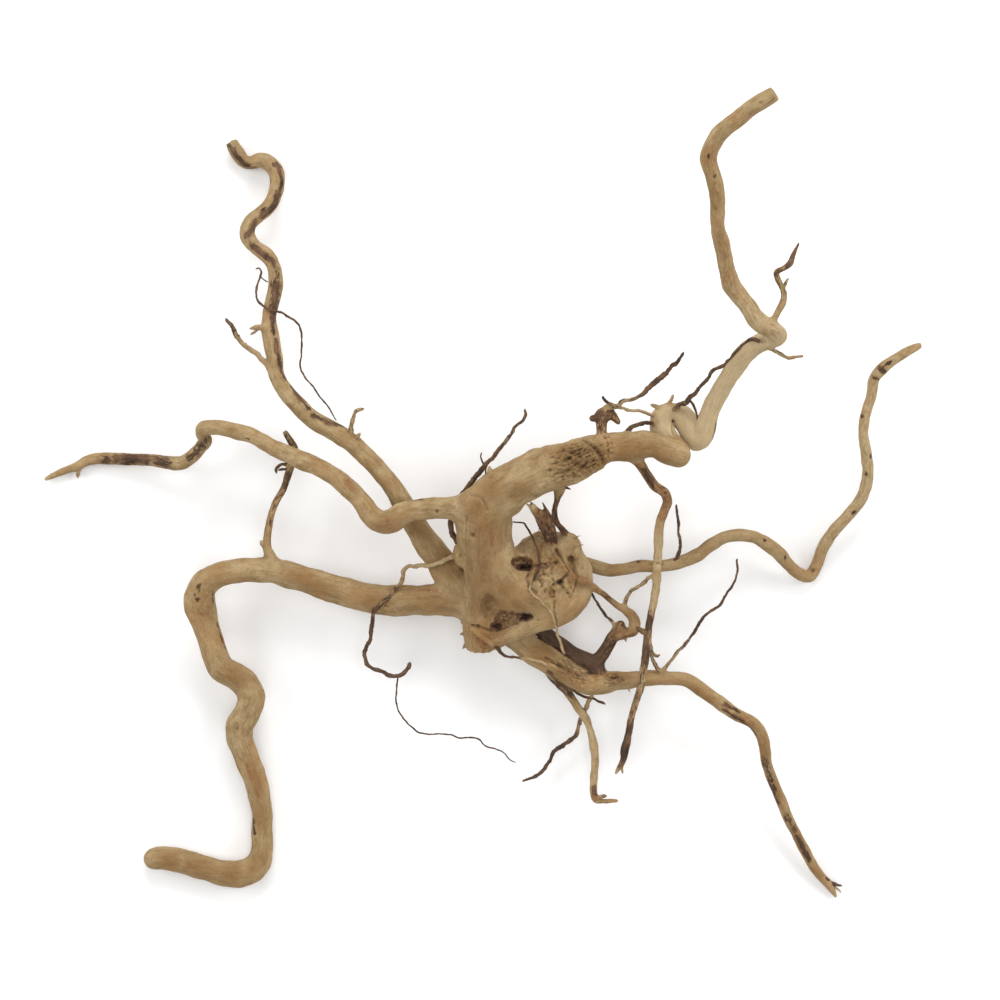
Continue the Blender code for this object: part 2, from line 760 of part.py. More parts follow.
def blunted(rings):
    """The same rings with a rounded end after the last."""
    last, radius = rings[-1]
    forward = (last - rings[-2][0]).normalized()
    for angle in map(math.radians, BLUNT_ANGLES):
        rings = rings + [(last + forward * radius * math.sin(angle), radius * math.cos(angle))]
    return rings


def resolution_for(rings):
    thickest = max(radius for _, radius in rings) / MM
    if thickest > THICK_LIMB_RADIUS:
        return THICK_SIDES_RESOLUTION
    if thickest > THIN_TWIG_RADIUS:
        return MIDDLE_SIDES_RESOLUTION
    return THIN_SIDES_RESOLUTION


def closed_mesh_of(curve_object):
    """A curve's bevelled tube as a mesh whose caps are joined to its sides."""
    graph = bpy.context.evaluated_depsgraph_get()
    mesh = bpy.data.meshes.new_from_object(curve_object.evaluated_get(graph))
    work = bmesh.new()
    work.from_mesh(mesh)
    bmesh.ops.remove_doubles(work, verts=work.verts, dist=MERGE_DISTANCE)
    bmesh.ops.recalc_face_normals(work, faces=work.faces)
    work.to_mesh(mesh)
    work.free()
    return mesh


def tube(name, rings):
    """A mesh object that runs along the rings."""
    curve = bpy.data.curves.new(name + "_route", "CURVE")
    curve.dimensions = "3D"
    curve.bevel_depth = 1.0
    curve.bevel_resolution = resolution_for(rings)
    curve.use_fill_caps = True
    spline = curve.splines.new("POLY")
    spline.points.add(len(rings) - 1)
    for point, (spot, radius) in zip(spline.points, rings):
        point.co = (*spot, 1.0)
        point.radius = radius * CORNERS_OUT
    route_object = bpy.data.objects.new(name + "_route", curve)
    bpy.context.scene.collection.objects.link(route_object)
    bpy.context.view_layer.update()
    mesh = closed_mesh_of(route_object)
    bpy.data.objects.remove(route_object)
    return bpy.data.objects.new(name, mesh)


def mass(name, middle, half_sizes):
    """An egg-shaped mesh object."""
    is_large = max(half_sizes) > LARGE_MASS
    facets = LARGE_MASS_SUBDIVISIONS if is_large else SMALL_MASS_SUBDIVISIONS
    work = bmesh.new()
    bmesh.ops.create_icosphere(work, subdivisions=facets, radius=1.0)
    share = placed_radius(1.0, middle[2])
    scale = Matrix.Diagonal((half_sizes[0] * share, half_sizes[1] * share, half_sizes[2] * MM, 1.0))
    bmesh.ops.transform(work, matrix=Matrix.Translation(place(*middle)) @ scale, verts=work.verts)
    mesh = bpy.data.meshes.new(name)
    work.to_mesh(mesh)
    work.free()
    return bpy.data.objects.new(name, mesh)


def clear_scene():
    for existing in list(bpy.data.objects):
        bpy.data.objects.remove(existing, do_unlink=True)


def helper_collection(name, helpers):
    """A collection of helper shapes, which a render leaves out."""
    collection = bpy.data.collections.new(name)
    bpy.context.scene.collection.children.link(collection)
    for helper in helpers:
        helper.hide_render = True
        helper.display_type = "WIRE"
        collection.objects.link(helper)
    return collection


def wood_material():
    material = bpy.data.materials.new("sand_blasted_wood")
    material.use_nodes = True
    shader = material.node_tree.nodes["Principled BSDF"]
    shader.inputs["Base Color"].default_value = WOOD_COLOUR
    shader.inputs["Roughness"].default_value = WOOD_ROUGHNESS
    shader.inputs["Metallic"].default_value = 0.0
    return material


def add_boolean(target, name, operation, collection):
    modifier = target.modifiers.new(name, "BOOLEAN")
    modifier.operation = operation
    modifier.operand_type = "COLLECTION"
    modifier.collection = collection
    modifier.solver = "EXACT"
    modifier.use_self = True


def build():
    clear_scene()
    limbs = []
    for name, route in TAPERED_TUBES.items():
        rings = smooth_rings(route)
        limbs.append(tube(name, blunted(rings) if name in BLUNT_TUBES else rings))
    limbs += [mass(name, *sizes) for name, sizes in HUB_MASSES.items()]
    hollows = [mass(name, *sizes) for name, sizes in HUB_HOLLOWS.items()]

    branchwood = tube("branchwood", smooth_rings(COLUMN))
    bpy.context.scene.collection.objects.link(branchwood)
    add_boolean(branchwood, "grow_limbs", "UNION", helper_collection("limbs", limbs))
    add_boolean(branchwood, "open_hollows", "DIFFERENCE", helper_collection("hollows", hollows))
    branchwood.data.materials.append(wood_material())
    branchwood.data.shade_smooth()


build()
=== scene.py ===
"""The looks of the branchwood: its grown surface, its thin twigs, its wood and the light on it.

The limbs of one root are grown together as a distance field and meshed. The twigs too thin for that
are tubes. Values stored on the points, such as the place along the grain or the nearness of a mark,
tell the wood's material what to paint.
"""

import math
from itertools import product

import bpy
import numpy as np
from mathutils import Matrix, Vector
from mathutils.bvhtree import BVHTree
from mathutils.kdtree import KDTree


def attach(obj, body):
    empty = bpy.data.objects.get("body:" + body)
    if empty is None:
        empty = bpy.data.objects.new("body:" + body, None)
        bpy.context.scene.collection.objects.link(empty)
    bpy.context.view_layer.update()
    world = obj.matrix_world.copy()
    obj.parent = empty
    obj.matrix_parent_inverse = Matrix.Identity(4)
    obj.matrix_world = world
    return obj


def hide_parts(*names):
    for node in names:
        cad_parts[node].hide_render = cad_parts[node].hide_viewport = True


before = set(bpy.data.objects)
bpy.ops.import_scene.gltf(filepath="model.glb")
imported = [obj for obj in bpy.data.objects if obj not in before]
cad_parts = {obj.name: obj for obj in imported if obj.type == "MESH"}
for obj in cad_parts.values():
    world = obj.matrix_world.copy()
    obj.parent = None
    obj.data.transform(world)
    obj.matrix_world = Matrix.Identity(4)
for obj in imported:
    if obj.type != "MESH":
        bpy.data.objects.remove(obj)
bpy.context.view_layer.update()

# Lengths are in millimetres up to the point where a mesh is made.
MM = 0.001

# The eye looks straight down from this height. A route's x and y are what it sees on a plane
# PICTURE_HEIGHT above the table, and this is where that plane's middle lies in the row frame.
EYE_HEIGHT = 1440.0
PICTURE_HEIGHT = 50.0
PICTURE_X = 11.6
PICTURE_Y = 5.5
TABLE_HEIGHT = -0.2
PICTURE_WIDTH = 500.0

# How finely a limb's smooth line is walked.
STEP_PER_RADIUS = 0.3
SHORTEST_STEP = 0.7
LONGEST_STEP = 2.0

# The grid on which the limbs grow together into one surface, and the surface's triangles.
GRID_STEP = 0.55
BLOCK_CELLS = 8
MAIN_TRIANGLES = 196_000

# The routes of the limbs and twigs, as (x, y, height, radius).
ROUTES = {
    "column": [
        (4, 5.5, 59.5, 9), (-1.5, 1.5, 57.5, 11), (-6, -4, 54, 12.8), (-8, -12, 49.5, 13.9),
        (-7.2, -24, 45, 12.3), (-7, -37.5, 39.5, 11.2), (-8, -50, 35, 10), (-9.3, -61, 31.5, 9),
        (-9.8, -70, 29, 8.2), (-10, -74, 27.7, 7.8),
    ],
    "lower_left_arm": [
        (-15, -51.5, 28, 8.5), (-30, -50, 25, 8), (-60, -50, 22.5, 7.5), (-75, -46.5, 22.5, 7),
        (-90, -42, 24, 6.8), (-105, -37.5, 25.5, 6.5), (-118, -35, 26.5, 6.2), (-133, -35.5, 26, 6),
        (-143, -38.5, 24.5, 6.6), (-149, -44, 22.8, 7.3), (-150.5, -52, 21, 7.8), (-148, -61, 20, 6.9),
        (-145, -69, 19, 6.5), (-142.5, -77, 18, 6.6), (-139, -84, 17.3, 7), (-132, -88, 16.5, 6.8),
        (-126.5, -92.5, 15.5, 6.7), (-124, -99, 14.3, 6.9), (-126.5, -106, 13.2, 6.9),
        (-130, -113, 12, 6.9), (-130, -120, 11, 6.6), (-127.5, -127, 10, 6.3), (-122.5, -140, 8.4, 5.8),
        (-119.5, -152.5, 7.2, 5.4), (-119, -165, 6.6, 5.3), (-119, -175, 6.4, 5.6),
        (-121.5, -182.5, 6.6, 6.2), (-128, -186.5, 6.8, 6.6), (-137, -186.5, 6.7, 6.5),
        (-147.5, -184, 6.4, 6.1), (-158, -180.5, 6.6, 6.2), (-167, -179, 7, 5.8), (-173, -179.5, 7.3, 5),
    ],
    "upright_twig": [
        (-113.5, -34, 27, 4.5), (-115, -28.5, 29, 3), (-116.5, -22, 30.5, 2.2), (-115.5, -12.5, 31, 1.7),
        (-112.5, -2, 30, 1.75), (-108, 6, 28.5, 1.75), (-105.5, 14, 27.5, 2), (-103, 21, 27, 2),
        (-102.7, 25.5, 27.3, 1.9), (-104.5, 29, 28, 1.7), (-106.3, 32, 28.6, 1.5),
        (-107.7, 34.3, 29, 1.2),
    ],
    "upright_twig_stub": [(-115, -27.5, 29, 1.8), (-117.5, -23.5, 30.2, 1.5), (-119.5, -20.5, 31, 1.2)],
    "upright_twig_curl": [
        (-105, 16.5, 27.5, 1.1), (-107, 17.7, 28, 0.95), (-109.5, 17.6, 28.3, 0.9),
        (-111.5, 15.8, 28.2, 0.9), (-112, 13.5, 28, 0.7),
    ],
    "upper_left_arm": [
        (-19, -45, 28, 8), (-25, -37.5, 28, 8), (-31.5, -28, 28, 7.2), (-42.5, -12, 28.5, 5.9),
        (-52.5, 5, 30.5, 4.9), (-60, 14.5, 32.5, 4.6), (-67.5, 22, 34.5, 4.6), (-75, 29, 36.5, 4.7),
        (-85, 35.5, 38.5, 4.7), (-95, 41.5, 39.5, 4.5), (-101.5, 48, 39.5, 4.4), (-107.5, 55, 39, 4.1),
        (-111.5, 63, 37.5, 4), (-113, 72.5, 36, 4.1), (-115, 84, 34, 4.2), (-115.3, 91, 32, 3.5),
        (-113.5, 100, 29, 3.7), (-112, 110, 25.5, 3.7), (-113.5, 118, 22.5, 3.6),
        (-117.5, 123, 20.5, 3.6), (-123, 127, 18.5, 3.7), (-126.5, 132.5, 16.5, 3.8),
        (-125, 138.5, 14.5, 3.8), (-119, 143.5, 13, 3.7), (-114, 149, 11.5, 3.7), (-111.5, 156, 10, 3.7),
        (-111.5, 162.5, 8.6, 3.9), (-115, 168, 7.2, 4), (-120, 170, 5.8, 3.8), (-124.5, 168.7, 4.4, 3.5),
        (-128, 169.5, 3.7, 3.4), (-131.2, 173.5, 4.6, 3.5), (-134.5, 179, 6.4, 3.2),
    ],
    "upper_left_side_twig": [
        (-115, 66, 36.5, 1.7), (-120.5, 72, 38, 1.3), (-127.5, 77, 39.5, 1.3), (-132, 82.5, 41, 1.25),
        (-134.5, 87.5, 42, 1.1), (-137, 90.5, 43, 0.7),
    ],
    "upper_left_frayed_stub": [(-117, 86, 34.5, 1.5), (-121, 86.3, 35.5, 1.3), (-125.5, 85.3, 36.3, 0.7)],
    "upper_left_hook": [
        (-75, 32, 39, 1.8), (-74.2, 37, 42, 1.3), (-73.3, 41.5, 44, 1), (-71.5, 44.5, 45, 0.9),
        (-68, 46, 46, 0.8),
    ],
    "middle_left_arm": [
        (-5, -2.5, 54, 7.5), (-15, -3, 53, 6.5), (-22.5, -4, 51.5, 5.8), (-37.5, -4.5, 49, 5.2),
        (-47.5, -6.5, 47, 5.7), (-53.5, -10, 45.5, 5.9), (-59.5, -11, 44, 5.8), (-65, -7, 43, 5.3),
        (-70, 0, 42, 4.8), (-80, 9.5, 40.5, 4.4), (-91, 16.3, 39.5, 4.4), (-102, 21, 38.5, 4.6),
        (-114, 26.5, 37.5, 4.2), (-124, 32, 36.5, 4), (-135, 35, 35, 3.9), (-143, 36.3, 32.8, 3.8),
        (-148.3, 35.7, 29.5, 3.7), (-148.5, 33, 25.5, 3.5), (-147, 29.8, 21.5, 3.3),
        (-149.5, 26.5, 17.5, 3.3), (-153.7, 22, 14.5, 3.4), (-158, 18.9, 12.5, 3.4),
        (-164, 18.4, 10.8, 3.4), (-174, 20, 8.5, 3.1), (-185, 20.3, 6.3, 3), (-198, 20.7, 4, 3.1),
        (-205, 20, 3.4, 2.8), (-212, 16.7, 3, 2.2), (-219, 14, 2.7, 1.7), (-227, 10.5, 2.4, 1.1),
    ],
    "middle_left_spur": [(-210.5, 17, 3.2, 1.4), (-210.8, 14, 3, 1.1), (-211, 11, 3, 0.7)],
    "arch": [
        (-14, -3.5, 54, 6.8), (-5, 1.5, 57, 9), (4, 6.5, 61.5, 10.3), (19.5, 14.5, 66, 11.7),
        (34, 18.5, 67.5, 10.8), (44, 22.5, 67, 9), (52.5, 26, 66, 7.4), (62.5, 26.5, 65, 7.3),
        (72.5, 27.5, 64.5, 6.9), (78, 27.2, 64, 6.2), (83.5, 24.8, 63.5, 6.9), (88.5, 23.2, 62.7, 7.1),
    ],
    "hairpin": [
        (88, 23.5, 61, 5.5), (87, 26, 56, 6), (83, 31, 52, 6), (80.6, 37.5, 49.5, 6.1),
        (82, 42.3, 48.5, 5.6), (86.5, 43.3, 48.5, 5), (91, 41.5, 49, 5.8), (95, 36.5, 50.5, 6.4),
        (98.7, 30.8, 52.5, 6.2), (102.3, 34.3, 55.5, 5.2), (104, 41, 58.5, 4.5),
    ],
    "upper_right_limb": [
        (102.5, 37, 56.5, 4.6), (104.5, 43, 59.5, 4.4), (108.7, 52, 64, 4.7), (115.5, 63.2, 71, 4.6),
        (122.5, 73, 77, 5.1), (130, 78.5, 82, 5), (135.5, 80.5, 87, 5), (138.5, 82.5, 92, 5.1),
        (136.3, 85, 97, 5), (131.2, 87.7, 100, 4.9), (126.8, 92, 101.5, 4.7), (123.5, 97.5, 102.5, 4.4),
        (119, 103, 104, 4.5), (115.5, 108, 105.5, 4.6), (113.5, 116, 108, 4.2), (110.9, 128.5, 112, 4),
        (109, 136, 114, 3.7), (108.7, 150, 118, 3.9), (107, 161, 121, 4.1), (104.2, 169.5, 123.5, 4.2),
        (105.9, 177, 125.5, 4.3), (110.6, 184, 127.5, 4.3), (119.5, 191.2, 130, 4.5),
        (127, 197, 132, 4.3), (137.5, 203.5, 135, 4),
    ],
    "knob_twig": [
        (134, 86, 97.5, 2), (137, 90.5, 99, 1.8), (139.5, 95, 100, 1.75), (141.5, 99, 101, 1.8),
        (142, 103, 102, 1.7), (140.7, 107, 103, 1.65), (138.7, 111, 104, 1.6), (138.3, 114, 105, 1.5),
        (141.5, 115.8, 106, 1.5), (145, 118.5, 107.3, 1.6), (147, 123.5, 109, 1.2),
        (149.5, 128.5, 111, 0.6),
    ],
    "hairpin_vine": [
        (129.8, 79.3, 87.5, 0.8), (126, 80.6, 86, 0.9), (122, 78, 80, 0.9), (117.5, 73.5, 76, 0.9),
        (112.5, 68, 72.5, 0.95), (107.5, 65, 71, 0.95), (104.5, 61.5, 69, 1), (100.7, 57.5, 66.5, 1),
        (97, 52.9, 63.5, 1.1), (94, 50, 60, 1.25), (89.5, 47.3, 55, 1.2), (86, 45, 50, 1.2),
    ],
    "vine_tip": [(151.5, 72, 86, 0.7), (145, 71.3, 87, 0.85), (139, 73.5, 87.8, 0.9), (134, 76, 87, 0.9)],
    "hairpin_stub": [(83, 45, 49.5, 1.1), (85.5, 50.5, 50.5, 0.9), (86.5, 53, 51, 0.65)],
    "hairpin_ledge": [(81, 44.5, 50.5, 1.5), (78, 47, 51.5, 1.2), (75.2, 48, 52, 1)],
    "stub_tower": [
        (51.5, 26, 67, 3.6), (50.7, 33, 69, 2.7), (50.9, 39, 69.5, 2.8), (50.8, 43, 70, 2.9),
        (55, 44.8, 70.2, 2.2),
    ],
    "stub_tower_left_lump": [(50, 41, 69.5, 2), (46.2, 40.8, 69, 1.7)],
    "stub_tower_right_lump": [
        (52, 40.5, 69.5, 2.2), (55.5, 42.5, 70, 2.5), (57.8, 40.3, 70, 1.9), (59, 38.8, 70, 1.2),
    ],
    "long_upper_twig": [
        (54, 46.5, 70.2, 1.7), (59, 47.2, 70.5, 1.3), (61.5, 49.7, 71, 1.15), (65.5, 50.2, 71.5, 1.05),
        (70, 52.2, 72.5, 1.1), (73.5, 55.5, 73.5, 1.2), (77.5, 59, 75, 1.3), (80, 60.7, 76, 1.5),
        (84, 64.5, 77.5, 1.2), (87.5, 68, 79, 1.1), (90, 70.8, 80, 0.95), (91.8, 74, 81, 0.6),
    ],
    "crossing_twig": [
        (77, 42.5, 52, 1), (74, 43, 56, 0.85), (70, 44.5, 61, 0.8), (65, 44.7, 66, 0.8),
        (59.8, 46.5, 71, 0.85), (54.5, 48.6, 73.3, 0.85), (51, 52.2, 75, 0.7),
    ],
    "dark_arch_twig": [
        (61.5, 31, 65, 1.3), (64.7, 35.2, 64.5, 1.15), (70, 37.8, 61, 1.1), (77, 38.5, 54, 1.1),
    ],
    "hanging_twig": [
        (66, 23, 64, 3.3), (70, 18, 62, 2.8), (73.5, 12.5, 61.5, 2.5), (77.5, 7, 60, 2.6),
        (82, 3.7, 57, 2.6), (83.7, -0.5, 54.5, 2.5), (81.7, -6.5, 52, 2.4), (79.5, -14, 50, 2.35),
        (79.3, -23, 47.5, 2.4), (78.8, -31.5, 45.5, 2.1), (78, -43.5, 43.5, 2.2), (76, -55, 42.5, 2),
        (74, -66.5, 42, 1.8), (72.8, -78, 41.5, 2), (71.5, -87, 40.5, 2), (70, -95, 38.5, 1.9),
        (66, -107.5, 34, 1.75), (64.5, -116, 31, 1.8), (62.5, -124, 28.5, 2.1), (61.5, -130, 26.5, 1.7),
        (58, -136.5, 24, 0.9),
    ],
    "right_arm": [
        (32.5, -30, 24, 3.8), (41.5, -31.5, 23.5, 3.5), (53, -35, 24, 3.3), (60.5, -34.8, 25, 3),
        (70, -33, 26, 3.1), (79.5, -33, 27, 3.1), (89, -31.5, 27.5, 3.2), (98, -28, 27.5, 3.4),
        (106.5, -22, 26.5, 3.2), (112.5, -18.7, 25.5, 3), (120, -17.5, 24, 3.1), (126.5, -18.5, 22, 3.1),
        (132.5, -21.5, 19.5, 3.4), (139, -26.5, 15.7, 3.4), (144, -32, 11.5, 3.1), (149.5, -36.8, 7, 3.1),
        (154.8, -38, 3.9, 3.1), (158, -33, 3.7, 3.1), (161.3, -24.5, 5.7, 3.1), (166.5, -16.2, 9, 2.9),
        (173, -9, 12.5, 2.9), (179, -2, 15.5, 3), (182.5, 5, 18.5, 3), (184, 14, 22, 2.9),
        (183, 24, 25.5, 2.8), (181.5, 33, 28.5, 2.7), (182.5, 42, 31.5, 2.7), (185.5, 51.5, 34.5, 2.7),
        (187, 60.5, 37, 2.7), (191.5, 66, 39, 2.9), (198.7, 71.2, 41, 2.6), (206, 75.5, 43, 2.2),
        (210.3, 77.5, 44, 1.6),
    ],
    "right_arm_twig": [
        (85, -32, 28, 1.3), (88.7, -28.7, 31, 0.95), (90, -22, 33, 0.85), (89.5, -14.5, 35, 0.75),
        (88.5, -5.5, 37, 0.7), (88, -2.2, 38, 0.6),
    ],
    "lower_right_arm": [
        (0, -64, 27, 6), (7.5, -69, 26.5, 5.7), (15, -74.6, 26, 6.6), (24, -80.5, 26, 6.5),
        (32.5, -85.5, 26.5, 5.8), (42.5, -91, 27.5, 5.8), (51.5, -91.3, 28.5, 5.6),
        (58, -90.2, 29.3, 4.9), (65, -90, 30, 4.5), (75, -89, 30.5, 3.9), (84, -89, 30.5, 3.6),
        (92.5, -89.7, 30.5, 3.6), (98.5, -93.3, 30, 3.5), (104.5, -97.5, 29.5, 3.5),
        (111.5, -102.5, 28.5, 3.5), (116.5, -106.3, 27.5, 3.2), (121.5, -108.7, 26.5, 3.1),
        (127, -112, 25, 3.2), (131, -118, 23, 3.1), (132.5, -125, 21, 2.8), (133.3, -132, 19, 2.7),
        (136.3, -140.5, 16.5, 2.7), (140.5, -150, 14, 2.7), (144, -158.5, 11.5, 2.6),
        (148.5, -167.5, 9, 2.6), (152.5, -175, 7, 2.6), (157, -183.5, 5, 2.5), (161.2, -189, 3.7, 2.3),
        (164.5, -192.5, 2.8, 2.2), (167.7, -198, 1.8, 0.9),
    ],
    "dark_root": [
        (17.5, -62.5, 24, 3.5), (25, -68.5, 24, 3.7), (37.5, -77.5, 24.5, 4), (46, -82, 26.5, 4.2),
        (50, -88, 28.5, 4.2),
    ],
    "dark_root_branch": [
        (47, -83, 27, 3.9), (53, -74.7, 29.5, 3.3), (56, -69.3, 31.5, 3), (58.5, -65.3, 33, 3),
        (60.2, -62.8, 34.2, 2.8),
    ],
    "loop_limb": [
        (31, -29.5, 47.5, 1.3), (35, -36.2, 49.2, 1.9), (40.3, -40, 46, 2.1), (46, -43.2, 40, 1.9),
        (52, -47.2, 35.5, 1.5), (57.5, -52, 34, 1.65), (62.5, -55.2, 34, 2.1), (66, -58, 34.5, 2.7),
        (67.3, -61.5, 34.8, 2.9), (66.5, -65.5, 34.5, 2.7), (63.5, -66.5, 34, 2.7), (59.5, -67, 33.5, 3),
    ],
    "loop_limb_link": [(66.5, -62.5, 35, 1.6), (70, -64.8, 38, 1.3), (74, -67.5, 41.5, 1.3)],
    "loop_limb_twig": [
        (62, -53.5, 34, 1.3), (63.5, -48.5, 36, 1.05), (65.3, -45, 37.3, 1), (70, -43, 39.5, 1),
        (74, -39.5, 42, 1), (78, -36.5, 44.5, 1),
    ],
    "black_thread": [
        (42, -41, 33.5, 0.8), (45.6, -46.2, 32.6, 0.7), (49.4, -53, 32, 0.65), (53.2, -58, 32.2, 0.7),
        (57.5, -62.5, 33, 0.85),
    ],
    "arm_link_twig": [
        (74, -70, 41.5, 1.2), (76, -76, 39.5, 1.05), (76.9, -81, 37, 1.05), (79.3, -84.7, 34.5, 1.15),
        (82, -86.5, 32.5, 1.3),
    ],
    "long_right_twig": [
        (81, -86, 32.5, 1.2), (85, -80.5, 35, 0.95), (91.2, -73.5, 38, 0.85), (96, -67.5, 40, 0.8),
        (99.5, -62, 41.5, 0.8), (103.5, -57.5, 43, 0.75), (109.5, -52.7, 45, 0.7),
        (113.5, -46.5, 46.5, 0.65), (116.5, -42.7, 47, 0.6), (118.8, -36, 48, 0.6), (118.5, -29, 49, 0.5),
    ],
    "lower_twig": [
        (22.5, -81, 24, 2.6), (25.5, -87, 22.5, 2.4), (30, -91.5, 21.5, 2.5), (34.5, -97, 21, 2.2),
        (39, -104, 20, 2), (43, -109.5, 19.5, 2), (45.5, -116.5, 19, 2), (47, -124, 18.5, 2.1),
        (47.5, -130.5, 18, 2), (47, -137, 17, 2), (46.8, -143.5, 16, 1.9), (46.9, -148.3, 15, 1.8),
        (48.7, -150.6, 14.5, 1.5), (52, -150.6, 14.5, 1.25), (55.5, -150.5, 14.5, 1.2),
        (58.3, -150.5, 14.5, 0.9),
    ],
    "lower_twig_toe": [(47.5, -148.5, 15.3, 1.1), (50.5, -148.4, 16.3, 0.9), (53.7, -148, 17.3, 0.8)],
    "crossing_lower_twig": [
        (47, -93.5, 26, 1.4), (45, -99.5, 22, 1.2), (43, -104, 18.5, 1.15), (41, -107.5, 16, 1.15),
        (39.5, -112, 14.5, 1.15), (38, -117, 13.5, 1.1), (33.5, -121, 12.5, 1.1),
        (27.5, -125.7, 11.5, 1.05), (24, -131, 10.5, 1), (22, -134.5, 10, 1), (18, -137.7, 9, 0.9),
        (11.5, -140.5, 8, 0.6),
    ],
    "dark_side_twig": [
        (30.5, -90, 22, 0.9), (34.5, -93, 23.3, 0.75), (37.5, -96, 24, 0.7), (41, -98, 23.5, 0.7),
        (45, -99, 23, 0.7), (49, -100.5, 24, 0.7), (53, -102.5, 25, 0.6),
    ],
    "left_vine": [
        (-19, -26.5, 38, 1.5), (-29.5, -31, 36.8, 1.25), (-35, -32.6, 35.3, 1.15), (-41, -33, 34, 1.15),
        (-45.3, -33.2, 33, 1.1), (-48, -35.7, 32, 1.1), (-49, -39, 31.5, 1.1), (-51, -43, 31, 1.1),
        (-55, -48.5, 30.4, 1.1), (-60, -52.5, 30, 1.1), (-63.3, -56, 28.5, 1.1),
        (-63.2, -60.5, 26.5, 1.1), (-65, -69, 24, 1.05), (-67.3, -76.5, 22.5, 1.05), (-67, -81, 22, 1.05),
        (-64, -84, 21.5, 1.1), (-58, -86, 21.5, 1.05), (-54.5, -88, 21.5, 1.1), (-50, -87.5, 22, 1.1),
        (-46.7, -84.7, 23, 1.1), (-45.5, -81, 24, 1.2),
    ],
    "long_dark_twig": [
        (-18, -25, 37, 1.5), (-23, -17.5, 40, 1.4), (-25, -10, 42, 1.4), (-23, -3, 43.5, 1.35),
        (-18.8, 2.8, 47, 1.35), (-13.8, 9, 51, 1.4), (-8, 17, 57.5, 1.3), (-3, 21.7, 61.5, 1.15),
        (2.5, 28.5, 65, 1), (4.7, 32, 67, 0.95), (7, 36, 69, 0.9), (12, 40.7, 73, 0.85),
        (12.5, 45.5, 76, 0.6),
    ],
    "frayed_stub": [
        (26.3, -24, 39.5, 3), (25.4, -19.3, 45, 3.2), (23.3, -12.5, 51, 3.7), (21, -9, 53, 3.3),
        (18.8, -5.5, 55, 2.6),
    ],
    "arch_link_twig": [
        (34, -18, 42, 1.9), (31.5, -15.2, 45, 1.6), (28.3, -11, 48, 1.45), (27.2, -5.5, 51, 1.45),
        (28.5, 0, 55, 1.6), (30, 6, 61, 2.8),
    ],
    "lower_band": [
        (-4, -70.5, 33, 4), (2, -68.8, 36.5, 3.7), (12, -64.8, 40.5, 3.8), (20, -61.6, 42, 3.9),
        (27, -59, 40, 3.6), (34, -55, 37, 3),
    ],
    "web_sweep": [
        (-6, -18, 46.5, 8), (-1, -29, 45, 8.5), (6, -39, 43, 9.5), (15, -47, 40.5, 10.5),
        (24, -51, 37.5, 11),
    ],
    "knot_rim": [
        (27, -57.5, 37, 4), (31.5, -56, 39, 5.8), (36, -50.5, 39, 6.8), (40, -43.5, 37, 6.2),
        (41.5, -35, 34, 4.6),
    ],
    "frayed_prong": [(22, -10.5, 51, 2.4), (18.3, -6, 54, 2.2), (15.2, -2, 56.5, 1.6)],
    "frayed_splinter": [
        (25, -13.5, 50.5, 1.9), (24.6, -8.5, 53, 1.5), (22.6, -4, 55, 0.9), (21.2, -1.3, 56, 0.5),
    ],
    "frayed_thorn": [(25.5, -11, 52, 1.3), (26.5, -7.5, 53.5, 0.8), (26, -5, 54.5, 0.4)],
    "hub_rootlet": [
        (6.5, -11, 50, 0.4), (11.5, -11.5, 50.5, 0.5), (14, -14, 50, 0.5), (15.5, -17, 49, 0.5),
        (17, -20.5, 48, 0.5), (18.5, -24, 48, 0.5), (19.5, -28, 49, 0.5), (20, -33, 50, 0.55),
        (18, -37.5, 51, 0.6), (15.3, -44, 52.3, 0.6), (16, -46.5, 52, 0.6), (25, -55.5, 47, 0.6),
        (28, -64.5, 41, 0.65), (30.5, -72.5, 36, 0.7), (32.5, -77, 33.5, 0.7),
    ],
    "rootlet_loop": [
        (-1.5, -73.5, 34, 1.1), (1, -76.5, 33, 0.8), (4, -78.3, 32.5, 0.7), (8.5, -78.7, 32.5, 0.65),
        (13.5, -79.5, 32.5, 0.7), (19.5, -80.5, 33, 0.7), (23.5, -83, 33, 0.6),
    ],
    "left_thread": [
        (-51, -88.5, 21.5, 0.45), (-51.5, -93, 21, 0.45), (-52, -97.5, 20, 0.45), (-51, -105, 18.5, 0.45),
        (-46.5, -111, 17.5, 0.45), (-41.5, -116, 17, 0.45), (-36, -117, 17, 0.42),
        (-30, -117, 17.5, 0.42), (-24.5, -117.5, 18, 0.42), (-19.5, -119, 18, 0.4),
        (-13, -119, 17.5, 0.4), (-10, -120, 17, 0.4), (-7, -123, 16, 0.4), (-1.5, -125, 15, 0.38),
        (1.5, -126.5, 14.5, 0.36), (4.5, -129.5, 14, 0.32), (8, -131.5, 13.5, 0.25),
    ],
    "arm_vine": [
        (-122, 115.5, 27, 0.35), (-120.5, 116, 28, 0.5), (-119.5, 114, 28.5, 0.55),
        (-120.5, 111, 29, 0.55), (-121.5, 107.5, 30, 0.55), (-122, 102.5, 31.5, 0.55),
        (-119.5, 98, 33, 0.6), (-116.5, 95.5, 34.6, 0.6), (-112, 94, 35.6, 0.6), (-107.5, 93, 35.2, 0.6),
        (-102.5, 89.5, 35, 0.55), (-100, 85.5, 35.5, 0.55), (-99, 78.5, 36.5, 0.5), (-99.5, 71, 38, 0.5),
        (-99.5, 65, 39.5, 0.5), (-97, 61, 40.5, 0.5), (-92, 54.5, 41.5, 0.45), (-85, 45, 42.5, 0.42),
        (-81.5, 40, 43, 0.35),
    ],
    "arm_vine_bit": [(-119.7, 111.5, 28.8, 0.4), (-117.5, 109.7, 29.2, 0.35), (-116, 109, 29.5, 0.25)],
    "arch_spur": [
